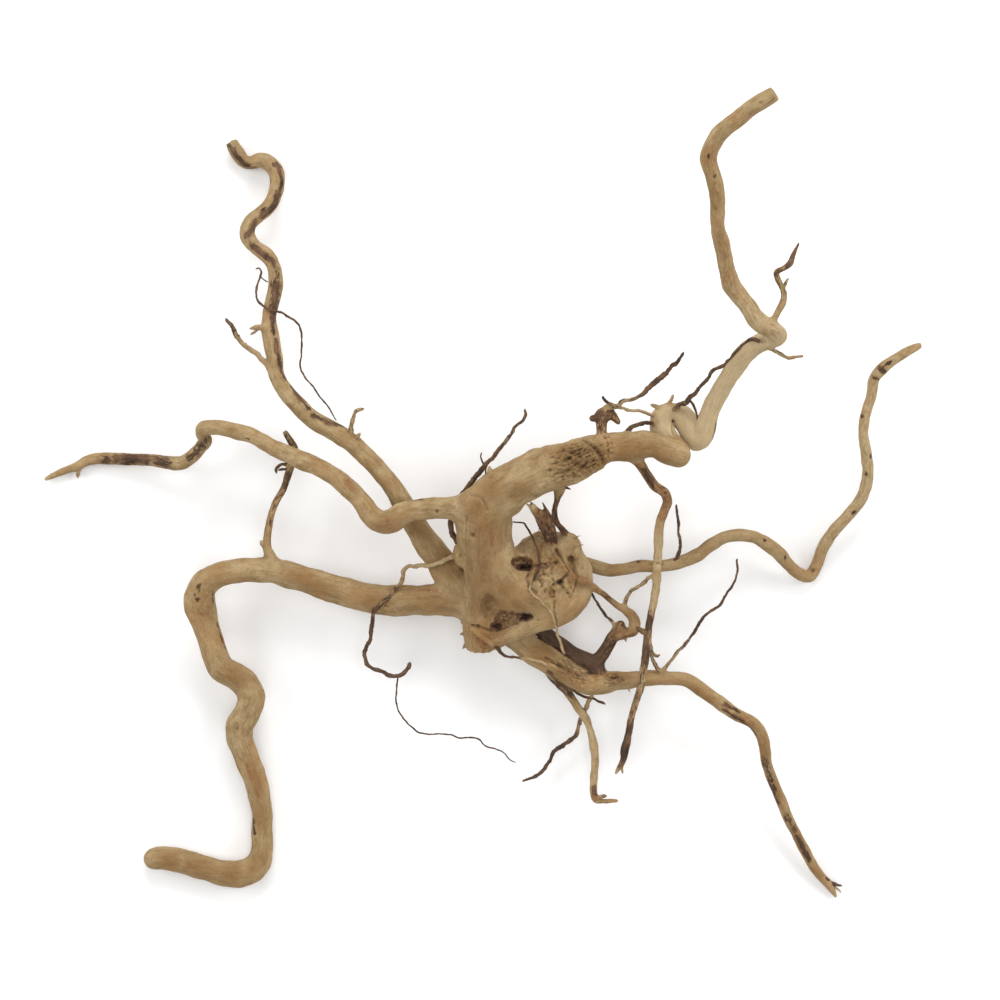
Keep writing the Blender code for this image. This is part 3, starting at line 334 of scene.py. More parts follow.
        (-4.3, 10.2, 61, 2.6), (-4.8, 13, 62.5, 2), (-5.2, 15.6, 64, 1.2), (-5.3, 17, 64.8, 0.5),
    ],
    "dark_twig_spur_up": [(-8.2, 17.8, 58, 0.6), (-9.5, 21.3, 58.7, 0.45), (-8.9, 23.8, 59.5, 0.25)],
    "dark_twig_spur_down": [(-7.4, 17.5, 58, 0.55), (-7, 14.5, 59, 0.45), (-7, 11.8, 60.5, 0.3)],
    "arch_link_bit": [(29.5, 4.5, 59.5, 0.9), (32.3, 6.4, 60.5, 0.75), (35.7, 5.6, 61, 0.4)],
    "knob_twig_spur": [(141.6, 106, 103, 1.1), (143.3, 109.3, 104.3, 0.8), (144.3, 110.8, 105, 0.5)],
    "hairpin_side_twig": [
        (93.5, 50.5, 60, 0.9), (96.2, 48.3, 60, 0.65), (98, 44.5, 59.5, 0.6), (99.2, 39, 58.5, 0.45),
    ],
    "loop_tooth": [(61, -67, 33.5, 1.3), (62.5, -69.3, 33.3, 0.8), (63, -70.8, 33.2, 0.4)],
    "tip_prong": [(163.7, -191, 3, 1.6), (167, -192.2, 3.2, 1), (171, -193, 3.6, 0.5)],
    "tip_fibre": [(165.5, -193, 2.6, 0.8), (169.3, -194.6, 2.8, 0.5), (171, -196.3, 3, 0.25)],
    "side_stub_prong": [(-120.5, 85.8, 35.5, 1), (-123.4, 83.6, 36, 0.7), (-125, 82.6, 36.3, 0.35)],
    "hook_stub": [(-73, 30, 38.5, 1.5), (-71, 32.2, 40, 1.1), (-70, 33.6, 41, 0.7)],
    "link_spur": [(76.7, -77, 39, 0.9), (78.6, -78.2, 39.2, 0.75), (80.2, -77.4, 39.6, 0.45)],
    "arm_splinter": [(61.5, -88.5, 33.2, 0.7), (63.3, -92.5, 32.5, 0.7), (65, -96.3, 31, 0.25)],
    "hanging_tip_prong": [(60.5, -131.5, 26, 1.3), (60.8, -135, 25, 0.7), (61.3, -137, 24.5, 0.3)],
    "curl_spur": [(-105, 15.5, 28, 1), (-108.8, 15.2, 28.6, 0.7), (-111, 14.9, 28.7, 0.4)],
    "column_tooth_high": [(-16.5, -61.5, 31, 1.2), (-18.6, -61.8, 31, 0.7), (-19.7, -61, 31, 0.3)],
    "column_tooth_middle": [(-16.5, -66, 29, 1.4), (-19, -67, 29, 0.8), (-20.3, -67, 29, 0.3)],
    "column_tooth_low": [(-15.5, -71, 27, 1.5), (-18, -73.3, 27, 0.8), (-18.8, -74.3, 27, 0.3)],
    "crown_fuzz_left": [(21.5, -19.5, 46, 0.5), (19.7, -16.5, 47.5, 0.3), (19.2, -14, 48.5, 0.15)],
    "crown_fuzz_low": [(22, -20.5, 46, 0.45), (18.5, -18.5, 47.5, 0.3), (16.5, -18, 48, 0.15)],
    "crown_fuzz_right": [(36.5, -20, 42, 0.4), (38.6, -18.3, 43, 0.25), (40.2, -18, 43.5, 0.15)],
    "crown_fuzz_far": [(38, -24, 42, 0.4), (40.5, -22.6, 43, 0.25), (42, -22.6, 43.5, 0.15)],
}

# The limbs grown together into the main surface: how softly each joins the rest, in mm, and its end.
FRONT_LIMBS = {
    "column": (5.0, "broken"),
    "arch": (6.0, "round"),
    "middle_left_arm": (4.0, "round"),
    "hairpin": (1.2, "round"),
    "upper_right_limb": (2.0, "sawn"),
    "knob_twig": (1.5, "round"),
    "stub_tower": (1.5, "broken"),
    "stub_tower_left_lump": (0.8, "round"),
    "stub_tower_right_lump": (0.8, "round"),
    "hanging_twig": (1.8, "round"),
    "frayed_stub": (0.8, "torn"),
    "arch_link_twig": (1.0, "round"),
    "lower_band": (0.8, "round"),
    "loop_limb": (0.9, "round"),
    "web_sweep": (7.0, "round"),
    "knot_rim": (1.2, "round"),
    "frayed_prong": (0.6, "torn"),
    "frayed_splinter": (0.6, "round"),
    "arch_spur": (1.0, "round"),
}
BACK_LIMBS = {
    "lower_left_arm": (4.0, "round"),
    "upright_twig": (3.0, "broken"),
    "upper_left_arm": (3.5, "broken"),
    "right_arm": (3.0, "broken"),
    "lower_right_arm": (3.0, "round"),
    "dark_root": (1.5, "round"),
    "dark_root_branch": (1.5, "round"),
    "lower_twig": (1.5, "round"),
}
FRONT_TO_BACK_BLEND = 1.5

# How far apart the fibres of a cut end stop, and how wide they are, in mm. They are drawn out along the
# limb by this share.
CUT_ENDS = {
    "sawn": (0.25, 0.8),
    "broken": (1.0, 0.7),
    "torn": (3.0, 1.1),
}
FIBRE_STRETCH = 0.8

# The swollen masses of the hub and the hollows in it, as (x, y, height) of the middle, half sizes,
# how softly each joins the rest, and which way its grain runs.
FRONT_MASSES = {
    "knot": ((24, -39, 33), (21, 23.5, 17), 3.0, (0.4, 1, 0)),
    "knot_lip": ((31, -49, 34), (13, 10.5, 14), 2.5, (1, 0.6, 0)),
    "web": ((5, -46, 36), (15, 13, 13), 6.0, (0.6, -1, 0)),
    "knot_shoulder": ((9, -31, 36), (8, 7.5, 11), 2.5, (1, -0.3, 0)),
    "knot_crown": ((33, -24, 36), (8, 8, 10), 2.5, (0.3, 1, 0.2)),
    "inner_corner": ((5.5, -1, 56), (5.5, 5.5, 6), 5.0, (0.7, 0.7, 0)),
    "knot_ledge": ((38, -26.5, 43.5), (2.4, 3.8, 4), 1.0, (0.2, 1, 0)),
}
BACK_MASSES = {
    "left_crotch": ((-19, -27, 38), (4.5, 7, 8), 3.0, (0.3, 1, 0)),
    "back_of_hub": ((-8, -48, 28), (13, 20, 9), 3.0, (1, 0, 0)),
    "floor_of_hub": ((9, -60, 28), (13, 9, 8), 3.0, (1, 0, 0)),
}
HOLLOWS = {
    "upper_hollow": ((11, -31.3, 50), (5.2, 2.9, 9), 0.5, (1, 0, 0)),
    "upper_hollow_deep": ((12.2, -33.6, 46), (3.4, 1.0, 10), 0.4, (1, 0, 0)),
    "lower_hollow_left": ((1, -60.3, 46), (4.4, 4.8, 10), 0.5, (1, 0, 0)),
    "lower_hollow_corner": ((-1.6, -63.4, 42), (3.0, 1.8, 9), 0.4, (1, 0, 0)),
    "lower_hollow_middle": ((6.5, -59.4, 46), (4.2, 3.4, 9), 0.5, (1, 0.3, 0)),
    "lower_hollow_right": ((11.8, -58.6, 46), (4.2, 1.8, 8), 0.4, (1, 0.3, 0)),
    "column_scoop": ((-5.5, -56.5, 45.5), (4.2, 9, 6.5), 2.5, (0, 1, 0)),
    "second_hollow": ((21.6, -33, 50), (2.4, 0.9, 6), 0.4, (1, 0, 0)),
    "star_hollow": ((30.2, -41, 51.5), (1.5, 0.9, 5), 0.4, (1, 0, 0)),
    "shaded_dent": ((25.8, -47.3, 53.5), (2.6, 3.6, 7), 1.0, (1, 0, 0)),
}

# How rusty the wall of each hollow is, and how much painted shade it has.
HOLLOW_WALLS = {
    "upper_hollow": (0.6, 0.55),
    "upper_hollow_deep": (0.6, 1.0),
    "lower_hollow_left": (0.5, 0.62),
    "lower_hollow_corner": (0.5, 0.8),
    "lower_hollow_middle": (0.5, 0.55),
    "lower_hollow_right": (0.4, 0.8),
    "second_hollow": (0.3, 0.7),
    "star_hollow": (0.3, 0.75),
    "shaded_dent": (0.3, 0.25),
}
HOLLOW_WALL = 1.0
HOLLOW_RAGGEDNESS = 0.8
HOLLOW_LUMP = 1.9
MASS_THICKNESS = 0.6

# Twigs too thin to grow into the main surface. At the ends named here, a collar of it swells round them.
THIN_TWIGS = {
    "upright_twig_stub": ("start",),
    "upright_twig_curl": ("start",),
    "upper_left_side_twig": ("start",),
    "upper_left_frayed_stub": ("start",),
    "upper_left_hook": ("start",),
    "middle_left_spur": ("start",),
    "hairpin_vine": ("end",),
    "vine_tip": ("end",),
    "hairpin_stub": ("start",),
    "hairpin_ledge": ("start",),
    "long_upper_twig": ("start",),
    "crossing_twig": ("start",),
    "dark_arch_twig": ("start", "end"),
    "right_arm_twig": ("start",),
    "loop_limb_link": ("start", "end"),
    "loop_limb_twig": ("start", "end"),
    "black_thread": ("start", "end"),
    "arm_link_twig": ("start", "end"),
    "long_right_twig": ("start",),
    "lower_twig_toe": ("start",),
    "crossing_lower_twig": ("start",),
    "dark_side_twig": ("start",),
    "left_vine": ("start",),
    "long_dark_twig": ("start",),
    "left_thread": (),
    "arm_vine": (),
    "arm_vine_bit": (),
    "hub_rootlet": (),
    "rootlet_loop": ("start",),
    "dark_twig_spur_up": (),
    "dark_twig_spur_down": (),
    "arch_link_bit": (),
    "knob_twig_spur": (),
    "hairpin_side_twig": (),
    "loop_tooth": (),
    "tip_prong": (),
    "tip_fibre": (),
    "side_stub_prong": (),
    "hook_stub": (),
    "link_spur": (),
    "arm_splinter": (),
    "hanging_tip_prong": (),
    "curl_spur": (),
    "column_tooth_high": (),
    "column_tooth_middle": (),
    "column_tooth_low": (),
    "crown_fuzz_left": (),
    "crown_fuzz_low": (),
    "crown_fuzz_right": (),
    "crown_fuzz_far": (),
    "frayed_thorn": (),
}

# Twigs that lie on the wood below them where it would otherwise swallow them, the highest that they are
# lifted for it, and how far their middle then lies above the wood, as a share of their radius.
LAID_TWIGS = {"hub_rootlet", "rootlet_loop", "hairpin_vine", "arm_vine"}
LAID_REACH = 12.0
LAID_LIFT = 0.4

# The length of a collar, how softly it joins the rest, and its thickness at its start and end as shares
# of the twig's.
COLLAR_LENGTH = 6.0
COLLAR_BLEND = 1.3
COLLAR_SWELL = (1.15, 0.6)

# The sides of a thin twig's tube, how far from its start its bends are full, and how large they are: a
# little larger on a thicker twig. Small bends come on top of the large ones.
TWIG_SIDES = 8
TWIG_KINK_FADE = 7.0
TWIG_BEND = 0.35
TWIG_BEND_GROWTH = 0.2
THICKEST_TWIG = 1.2
LARGE_BEND_LENGTH = 5.5
SMALL_BEND_LENGTH = 2.1
SMALL_BEND_SHARE = 0.3

# How a thin twig tapers to its tip, how far the points that close its tube stand out, and how long and
# high its knobs and its facets are.
TWIG_TIP_SHARE = 0.35
TWIG_TIP_LENGTH = 1.2
TWIG_CAP = 0.2
KNOB_LENGTH = 2.3
KNOB_HEIGHT = 0.22
FACET_SIZE = 0.8
FACET_HEIGHT = 0.14

# How much of each finish a limb has, and how rough it is. One of these finishes is painted shade, partly
# also a darker, warmer tone of the wood. Below a half, a finish lies in ragged patches, and from a half
# up it covers most of the limb. Where it changes along a limb, it is given as (share of the way along,
# amount).
USUAL_TRAITS = {"bark": 0.1, "rust": 0.0, "pale": 0.0, "shade": 0.0, "rough": 1.0}
TWIG_TRAITS = {"bark": 0.42, "rust": 0.2, "pale": 0.5, "shade": 0.25}
TRAITS = {
    "knot": {"rough": 2.6},
    "knot_lip": {"rough": 1.2},
    "knot_crown": {"rough": 2.4},
    "knot_shoulder": {"rough": 1.8},
    "knot_ledge": {"pale": 0.3, "rough": 1.5},
    "web": {"bark": 0.0, "rough": 0.7},
    "web_sweep": {"bark": 0.0, "rough": 0.7},
    "frayed_stub": {"rust": 0.75, "bark": [(0, 0.8), (0.3, 0.55), (1, 0.48)], "shade": 0.5, "rough": 2},
    "frayed_prong": {
        "rust": 0.6, "bark": [(0, 0.5), (0.4, 0.3), (0.6, 0)], "pale": [(0.45, 0.1), (0.7, 1)],
    },
    "frayed_splinter": {"rust": 0.6, "bark": 0.45},
    "frayed_thorn": {"rust": 0.5, "bark": 0.6},
    "arch_link_twig": {"bark": [(0, 0.45), (0.2, 0.65), (0.8, 0.55), (1, 0.2)], "rust": 0.5, "rough": 1.4},
    "arch_link_bit": {"bark": [(0, 0.3), (1, 0.7)], "rust": 0.6},
    "dark_root": {
        "bark": [(0, 1), (0.5, 0.85), (1, 0.72)],
        "rust": 0.7,
        "shade": [(0, 1), (0.6, 0.8), (1, 0.5)],
        "rough": 1.8,
    },
    "dark_root_branch": {
        "bark": [(0, 0.8), (0.3, 0.6), (1, 0.5)],
        "rust": 0.6,
        "shade": [(0, 0.8), (0.4, 0.5), (1, 0.4)],
        "rough": 1.4,
    },
    "loop_limb": {
        "bark": [(0, 0.15), (0.3, 0.3), (0.5, 0.48), (0.7, 0.3), (1, 0.38)],
        "rust": [(0, 0.5), (0.3, 0.55), (0.5, 0.55), (0.6, 0.4), (1, 0.5)],
        "shade": 0.75,
        "rough": 1.6,
    },
    "hanging_twig": {
        "bark": [
            (0, 0.35), (0.05, 0.44), (0.17, 0.4), (0.25, 0.32), (0.48, 0.3), (0.54, 0.7), (0.63, 0.66),
            (0.68, 0.42), (0.82, 0.45), (0.86, 0.8), (0.94, 0.76), (1, 0.3),
        ],
        "pale": [(0, 0.1), (0.2, 0.2), (0.3, 0.5), (0.5, 0.5), (0.7, 0.3), (1, 0.5)],
        "rust": [(0, 0.7), (0.2, 0.7), (0.3, 0.3), (0.5, 0.2), (0.6, 0.4), (0.85, 0.5), (1, 0.3)],
        "rough": 1.4,
    },
    "upright_twig": {"bark": [(0, 0.1), (0.15, 0.35), (0.5, 0.48), (0.75, 0.6), (1, 0.45)], "rust": 0.3},
    "upright_twig_curl": {"bark": 0.7, "rust": 0.6},
    "curl_spur": {"bark": 0.7, "rust": 0.6},
    "knob_twig": {"bark": [(0, 0.2), (0.4, 0.42), (0.7, 0.5), (1, 0.7)], "rust": 0.25, "rough": 1.3},
    "stub_tower": {"bark": [(0, 0.25), (0.5, 0.5), (1, 0.54)], "rust": 0.55, "rough": 2},
    "stub_tower_left_lump": {"bark": 0.66, "rust": 0.5, "rough": 2},
    "stub_tower_right_lump": {"bark": 0.52, "rust": 0.6, "rough": 2.2},
    "upper_left_arm": {
        "bark": [(0, 0.08), (0.5, 0.12), (0.75, 0.22), (0.95, 0.27), (1, 0.35)],
        "pale": [(0, 0), (0.5, 0.15), (0.7, 0.36), (1, 0.36)],
    },
    "lower_left_arm": {"pale": [(0, 0), (0.3, 0.1), (0.4, 0.26), (0.75, 0.2), (1, 0)]},
    "middle_left_arm": {"bark": [(0, 0), (0.5, 0.1), (0.7, 0.15), (1, 0.3)]},
    "right_arm": {
        "bark": 0.15,
        "shade": 0.3,
        "pale": [(0, 0), (0.42, 0.1), (0.6, 0.45), (0.85, 0.5), (1, 0.4)],
    },
    "lower_right_arm": {
        "bark": [(0, 0.1), (0.4, 0.12), (0.7, 0.2), (1, 0.28)],
        "rust": 0.1,
        "pale": [(0, 0), (0.35, 0.1), (0.55, 0.25), (1, 0.3)],
    },
    "lower_twig": {
        "bark": [(0, 0.8), (0.2, 0.55), (0.3, 0.3), (0.5, 0.2), (0.8, 0.25), (0.85, 0.45), (1, 0.3)],
        "rust": [(0, 0.6), (0.3, 0.4), (0.5, 0.2), (0.8, 0.3), (1, 0.6)],
        "pale": [(0, 0), (0.3, 0.3), (0.5, 0.5), (0.8, 0.4), (1, 0.3)],
        "rough": 1.5,
    },
    "hairpin": {"pale": [(0, 0.25), (0.12, 0.4), (0.22, 0.8), (1, 0.85)], "bark": 0.05},
    "upper_right_limb": {
        "pale": [(0, 0.9), (0.28, 0.9), (0.36, 0.5), (0.6, 0.3), (1, 0.3)],
        "bark": 0.1,
    },
    "left_thread": {"bark": 0.85},
    "arm_vine": {"bark": 0.7},
    "arm_vine_bit": {"bark": 0.7},
    "left_vine": {"bark": [(0, 0.2), (0.3, 0.4), (0.5, 0.6), (1, 0.68)]},
    "long_dark_twig": {"bark": [(0, 0.75), (0.5, 0.6), (1, 0.5)]},
    "dark_twig_spur_up": {"bark": 0.9},
    "dark_twig_spur_down": {"bark": 0.8},
    "long_upper_twig": {"bark": [(0, 0.5), (0.2, 0.4), (0.4, 0.55), (0.6, 0.8), (1, 0.9)], "rust": 0.5},
    "crossing_twig": {"bark": [(0, 0.3), (0.5, 0.25), (0.8, 0.5), (1, 0.8)]},
    "hairpin_vine": {"bark": [(0, 0.8), (0.3, 0.58), (0.7, 0.6), (1, 0.5)]},
    "hairpin_side_twig": {"bark": 0.75},
    "right_arm_twig": {"bark": 0.6},
    "black_thread": {"bark": 0.95},
    "dark_side_twig": {"bark": 0.85},
    "dark_arch_twig": {"bark": 0.85},
    "long_right_twig": {"bark": [(0, 0.4), (0.3, 0.5), (0.6, 0.7), (1, 0.65)], "rust": 0.35},
    "crossing_lower_twig": {"bark": [(0, 0.35), (0.4, 0.45), (0.6, 0.75), (1, 0.85)], "rust": 0.55},
    "upper_left_side_twig": {"bark": [(0, 0.2), (0.6, 0.4), (1, 0.65)], "rust": 0.5},
    "upper_left_frayed_stub": {"bark": 0.3, "rust": 0.5},
    "side_stub_prong": {"bark": 0.4, "rust": 0.5},
    "loop_limb_link": {"bark": 0.55, "rust": 0.6},
    "loop_limb_twig": {"bark": 0.45, "rust": 0.45},
    "link_spur": {"bark": 0.5, "rust": 0.5},
    "arm_splinter": {"bark": 0.1, "rust": 0.5},
    "hairpin_ledge": {"bark": 0.1, "rust": 0.1, "pale": 0.4},
    "hairpin_stub": {"bark": 0.3, "rust": 0.45},
    "hub_rootlet": {"bark": [(0, 0.9), (0.35, 0.85), (0.5, 0.3), (1, 0.1)], "rust": 0.1},
    "rootlet_loop": {"bark": [(0, 0.8), (0.45, 0.7), (0.6, 0.15), (1, 0.1)], "rust": 0.15},
    "column_tooth_high": {"bark": 0.4, "rust": 0.4},
    "column_tooth_middle": {"bark": 0.4, "rust": 0.4},
    "column_tooth_low": {"bark": 0.4, "rust": 0.4},
    "tip_prong": {"bark": 0.6},
    "tip_fibre": {"bark": 0.3, "rust": 0.5},
}

# Marks on the wood as the eye sees them, as (x, y, half length along the grain, half width).
MARKS = {
    "bark": [
        (-150.7, -43, 1.6, 1), (-150.4, -45.4, 1.2, 0.7), (-152.6, -47.5, 1.4, 0.8),
        (-150, -48.2, 1.6, 0.8), (-151.5, -50, 1.1, 1.4), (-143.3, -47.3, 0.8, 0.7),
        (-157, -40.5, 1.6, 0.8), (-139.5, -68, 6.5, 0.6), (-140.9, -62.5, 1.4, 0.8),
        (-131.3, -114, 1.1, 1), (-122.5, -166.2, 1.5, 1.1), (-123.2, -160.6, 1.8, 0.9),
        (-135, -80.5, 0.7, 0.7), (-57, -53, 1.2, 0.8), (-122, -28.5, 1.4, 0.8),
        (-109.2, 166.5, 1.2, 1), (-113, 167.8, 1.4, 1), (-115.1, 165.7, 1, 0.9),
        (-114.8, 158.8, 2, 0.8), (-118.3, 145, 1.4, 1.1), (57, -89, 4, 0.7),
        (-126.4, 30.4, 1.2, 0.7), (-14, -18, 0.9, 0.8), (-17.5, -10, 1.2, 0.7), (-41, 0, 3, 0.6),
        (-31.5, -5.5, 0.9, 0.9), (107.5, 162, 0.8, 0.8), (104.5, 24, 6, 0.7), (107.5, 35, 6, 0.7),
        (74, 11.5, 6, 1.6), (72.7, -72.5, 6, 1.6), (62.7, -123.5, 6, 1.6), (191, 65, 1.3, 3.5),
        (187.5, 61, 0.8, 2.5), (194, 68.3, 2.5, 0.9), (181, 42, 1.2, 1), (185.5, 22, 1.2, 1),
        (183, 13, 1, 0.9), (177, -6.5, 1.5, 1), (142.5, -28.5, 1, 1), (132.5, -20, 0.9, 0.9),
        (156.5, -35, 1, 1), (69, -31, 0.8, 0.8), (113.5, -102.3, 2.6, 0.8), (117.5, -104.6, 2.6, 1),
        (112, -105, 1.6, 0.6), (132, -132, 1.6, 1.1), (139, -151, 1.6, 1.1), (143, -159.5, 1.8, 1),
        (152.5, -176.5, 1.6, 1.1), (164, -189.5, 1.4, 1.2), (123.5, 82.3, 3, 0.6),
        (104.3, 172, 1.2, 0.7), (54.2, 31, 0.9, 0.9), (53.4, 27, 0.8, 0.7), (45.5, -86.5, 2.5, 1.2),
        (25.5, -86.5, 2, 1), (27.5, -82, 3.5, 0.8), (42, -82.5, 2, 0.8),
    ],
    "rust": [
        (-125, -136, 5, 1.4), (-121.5, -146, 4, 1), (-150, -57, 1, 3), (-56, -10, 1.8, 1.6),
        (-75, 7.5, 4, 2), (107.5, 146, 1.2, 1.2), (123, 99.2, 1.6, 1.1), (125.9, 95.5, 1.2, 1),
        (131.7, 88.8, 1.6, 1), (130.5, 199, 1, 1), (74, 11.5, 7, 2.5), (-50, -43, 3, 1),
        (-37, -45, 6, 1), (-89, -47, 4, 0.9), (-8, -74, 4, 1), (47, -87, 4, 2), (56, -87.3, 4, 1),
        (20, -70, 4, 1), (38, -35.5, 4, 1.6), (-9, -70, 5, 2.5), (-4, -20, 5, 1.2), (27, -89, 5, 2),
        (47.5, -148, 3, 2), (121.5, -109.5, 3, 1.4), (113, -103.5, 3, 1.2),
    ],
    # Patches of painted shade on the hub's low and hollow parts and along some limbs, partly also a
    # darker, warmer tone of the wood.
    "shade": [
        (-5.5, -57, 9, 4.5), (-6, -48, 10, 4), (0, -52, 7, 5), (9, -53, 6, 4), (-8, -69, 5, 7),
        (14, -58, 6, 3), (-9, -20, 12, 4), (-4.5, 5.5, 5, 7), (25.5, -46, 5, 4), (38, -41, 6, 3),
        (36, -31, 5, 3), (32, -87, 9, 5), (22, -78, 8, 4), (31, 23.5, 8, 5), (62, 22, 6, 5),
        (70, 24, 7, 4), (-27, -33, 9, 6), (-35, -52, 12, 5), (9, 4, 7, 4), (-15, -35, 12, 3),
        (-58, -12, 7, 4), (-92, -43, 12, 4), (-147, -53, 9, 5), (-133, -87, 9, 5),
        (-122, -140, 14, 3), (-122, -182, 9, 4), (20, -26, 5, 4), (-40, -14, 9, 4), (118, 70, 6, 3),
        (111, 128, 12, 3), (135, 83, 6, 4), (60, -88, 8, 4), (100, -97, 10, 3), (-150, -184, 10, 6),
        (-135, -187, 8, 6), (-165, -180, 6, 5), (-119.5, -158, 10, 4), (132, -124, 8, 3.5),
        (138, -146, 10, 3.5), (149, -170, 11, 3), (107, 152, 9, 3.5), (114, 112, 7, 4),
        (105, 172, 6, 3), (-7, -63, 5, 6), (2, -45, 6, 6), (16, -50, 6, 5), (27, -31, 5, 6),
        (-12, -5, 6, 5), (76, 26, 5, 4), (66, 28, 6, 3), (40, 20.5, 12, 8), (-8, -40, 9, 6),
        (-12, -55, 6, 5), (-8, -30, 8, 5), (-8, -47, 14, 9), (-6, -66, 9, 9), (-6, -15, 9, 7),
        (50, 22, 5, 7), (66, 26, 9, 5), (80, 22, 8, 5), (-5, -72, 8, 4), (18, -34, 5, 5),
        (35, -33, 4, 6), (-100, -39, 9, 4), (-62, -50, 9, 4), (124, -112, 7, 3),
        (158, -186, 6, 2.5),
    ],
    "pale": [
        (-189.5, 19, 1.2, 1.2), (104, 52, 10, 6),
    ],
}

# Strips of bark left along a limb, as half width, how much is left and the points they run through.
BARK_STRIPS = [
    (3.6, 0.15, [(-136.5, 178), (-132.5, 173), (-128, 167.5), (-123.5, 166)]),
    (1.3, 0.9, [(-132.5, 174), (-129.5, 169.5), (-126, 167)]),
    (1.3, 0.8, [(-111.5, 168.5), (-109.8, 163.5), (-108.8, 158.5), (-110.5, 153)]),
    (2.1, 0.9, [(-111, 153), (-112.5, 147.5), (-115.5, 144.5), (-119, 142)]),
    (2.2, 0.75, [(-122.5, 139), (-124, 135), (-126.5, 132)]),
    (1.9, 0.9, [(-124, 127.5), (-121, 125), (-118, 122.8), (-114.5, 120)]),
    (3.0, 0.2, [(-113.5, 118.5), (-111.3, 114), (-112, 109)]),
    (2.9, 0.95, [(-112, 107.5), (-112, 102), (-112.5, 96), (-112.8, 91.5)]),
    (1.5, 0.7, [(-113.4, 89.5), (-113.4, 84.5)]),
    (1.6, 0.8, [(-112, 80), (-111.6, 76), (-110.8, 71), (-109.7, 66), (-107.5, 61)]),
    (1.5, 0.7, [(-104, 56.5), (-101, 52), (-98, 48.3), (-95.5, 45.5)]),
    (1.6, 0.7, [(-93.5, 42.5), (-88.5, 40), (-84, 38.2), (-79, 36.8), (-75.5, 36)]),
    (5.0, 0.3, [(-197.5, 20), (-192, 20.3)]),
    (5.2, 0.7, [(-187, 20.5), (-182, 21), (-178, 21)]),
    (4.8, 0.5, [(-171, 20), (-167, 19)]),
    (4.0, 0.25, [(-155, 21.5), (-151, 25), (-147, 30)]),
    (1.0, 0.9, [(112.3, -102.2), (116, -104), (119.8, -106.2)]),
    (1.4, 0.3, [(113, -105.5), (117, -108), (121.4, -110.5), (127.5, -117.5)]),
    (2.2, 0.55, [(24.5, -86), (30, -91.5), (35.5, -97.5)]),
    (2.6, 0.2, [(132, -129), (135, -138), (138.5, -150)]),
    (1.2, 0.6, [(133.5, -138.5), (137, -148)]),
    (2.0, 0.3, [(143.5, -158), (147.5, -165.5)]),
    (1.8, 0.55, [(149, -168.5), (151.5, -174), (154.5, -180)]),
    (2.6, 0.5, [(47, -143.8), (47.3, -146.8)]),
    (0.9, 0.8, [(-155.5, -39.5), (-157.2, -42.5), (-158, -46.5)]),
    (0.9, 0.6, [(-141.2, -61.5), (-139.6, -68), (-137.4, -74)]),
    (0.7, 0.7, [(-143.3, -46), (-143.7, -52.5)]),
]

# Pits, as (x, y, half length along the grain, half width, depth). They are sunk and given painted shade.
PITS = [
    (-14, -18, 1.0, 1.0, 1.6), (-11, -63.5, 1.0, 0.9, 1.2), (-20, -28, 1.2, 0.8, 1.0),
    (20.5, 8.5, 1.0, 0.7, 0.5), (130.7, 79.1, 1.9, 1.6, 1.5), (-131, -114, 1.0, 0.9, 0.5),
    (-17, -10, 2.0, 1.2, 0.6), (-5, 11.8, 1.0, 0.8, 0.7), (41.5, 16.7, 1.6, 1.2, 1.2),
    (46, 20, 1.2, 0.8, 0.8), (53, -86.2, 1.2, 0.8, 0.9), (30, -83, 1.4, 0.8, 0.9),
    (35, -86.5, 1.6, 0.7, 0.8), (30.8, -12, 0.9, 0.8, 0.8), (19, -60.2, 0.8, 0.6, 0.6),
]
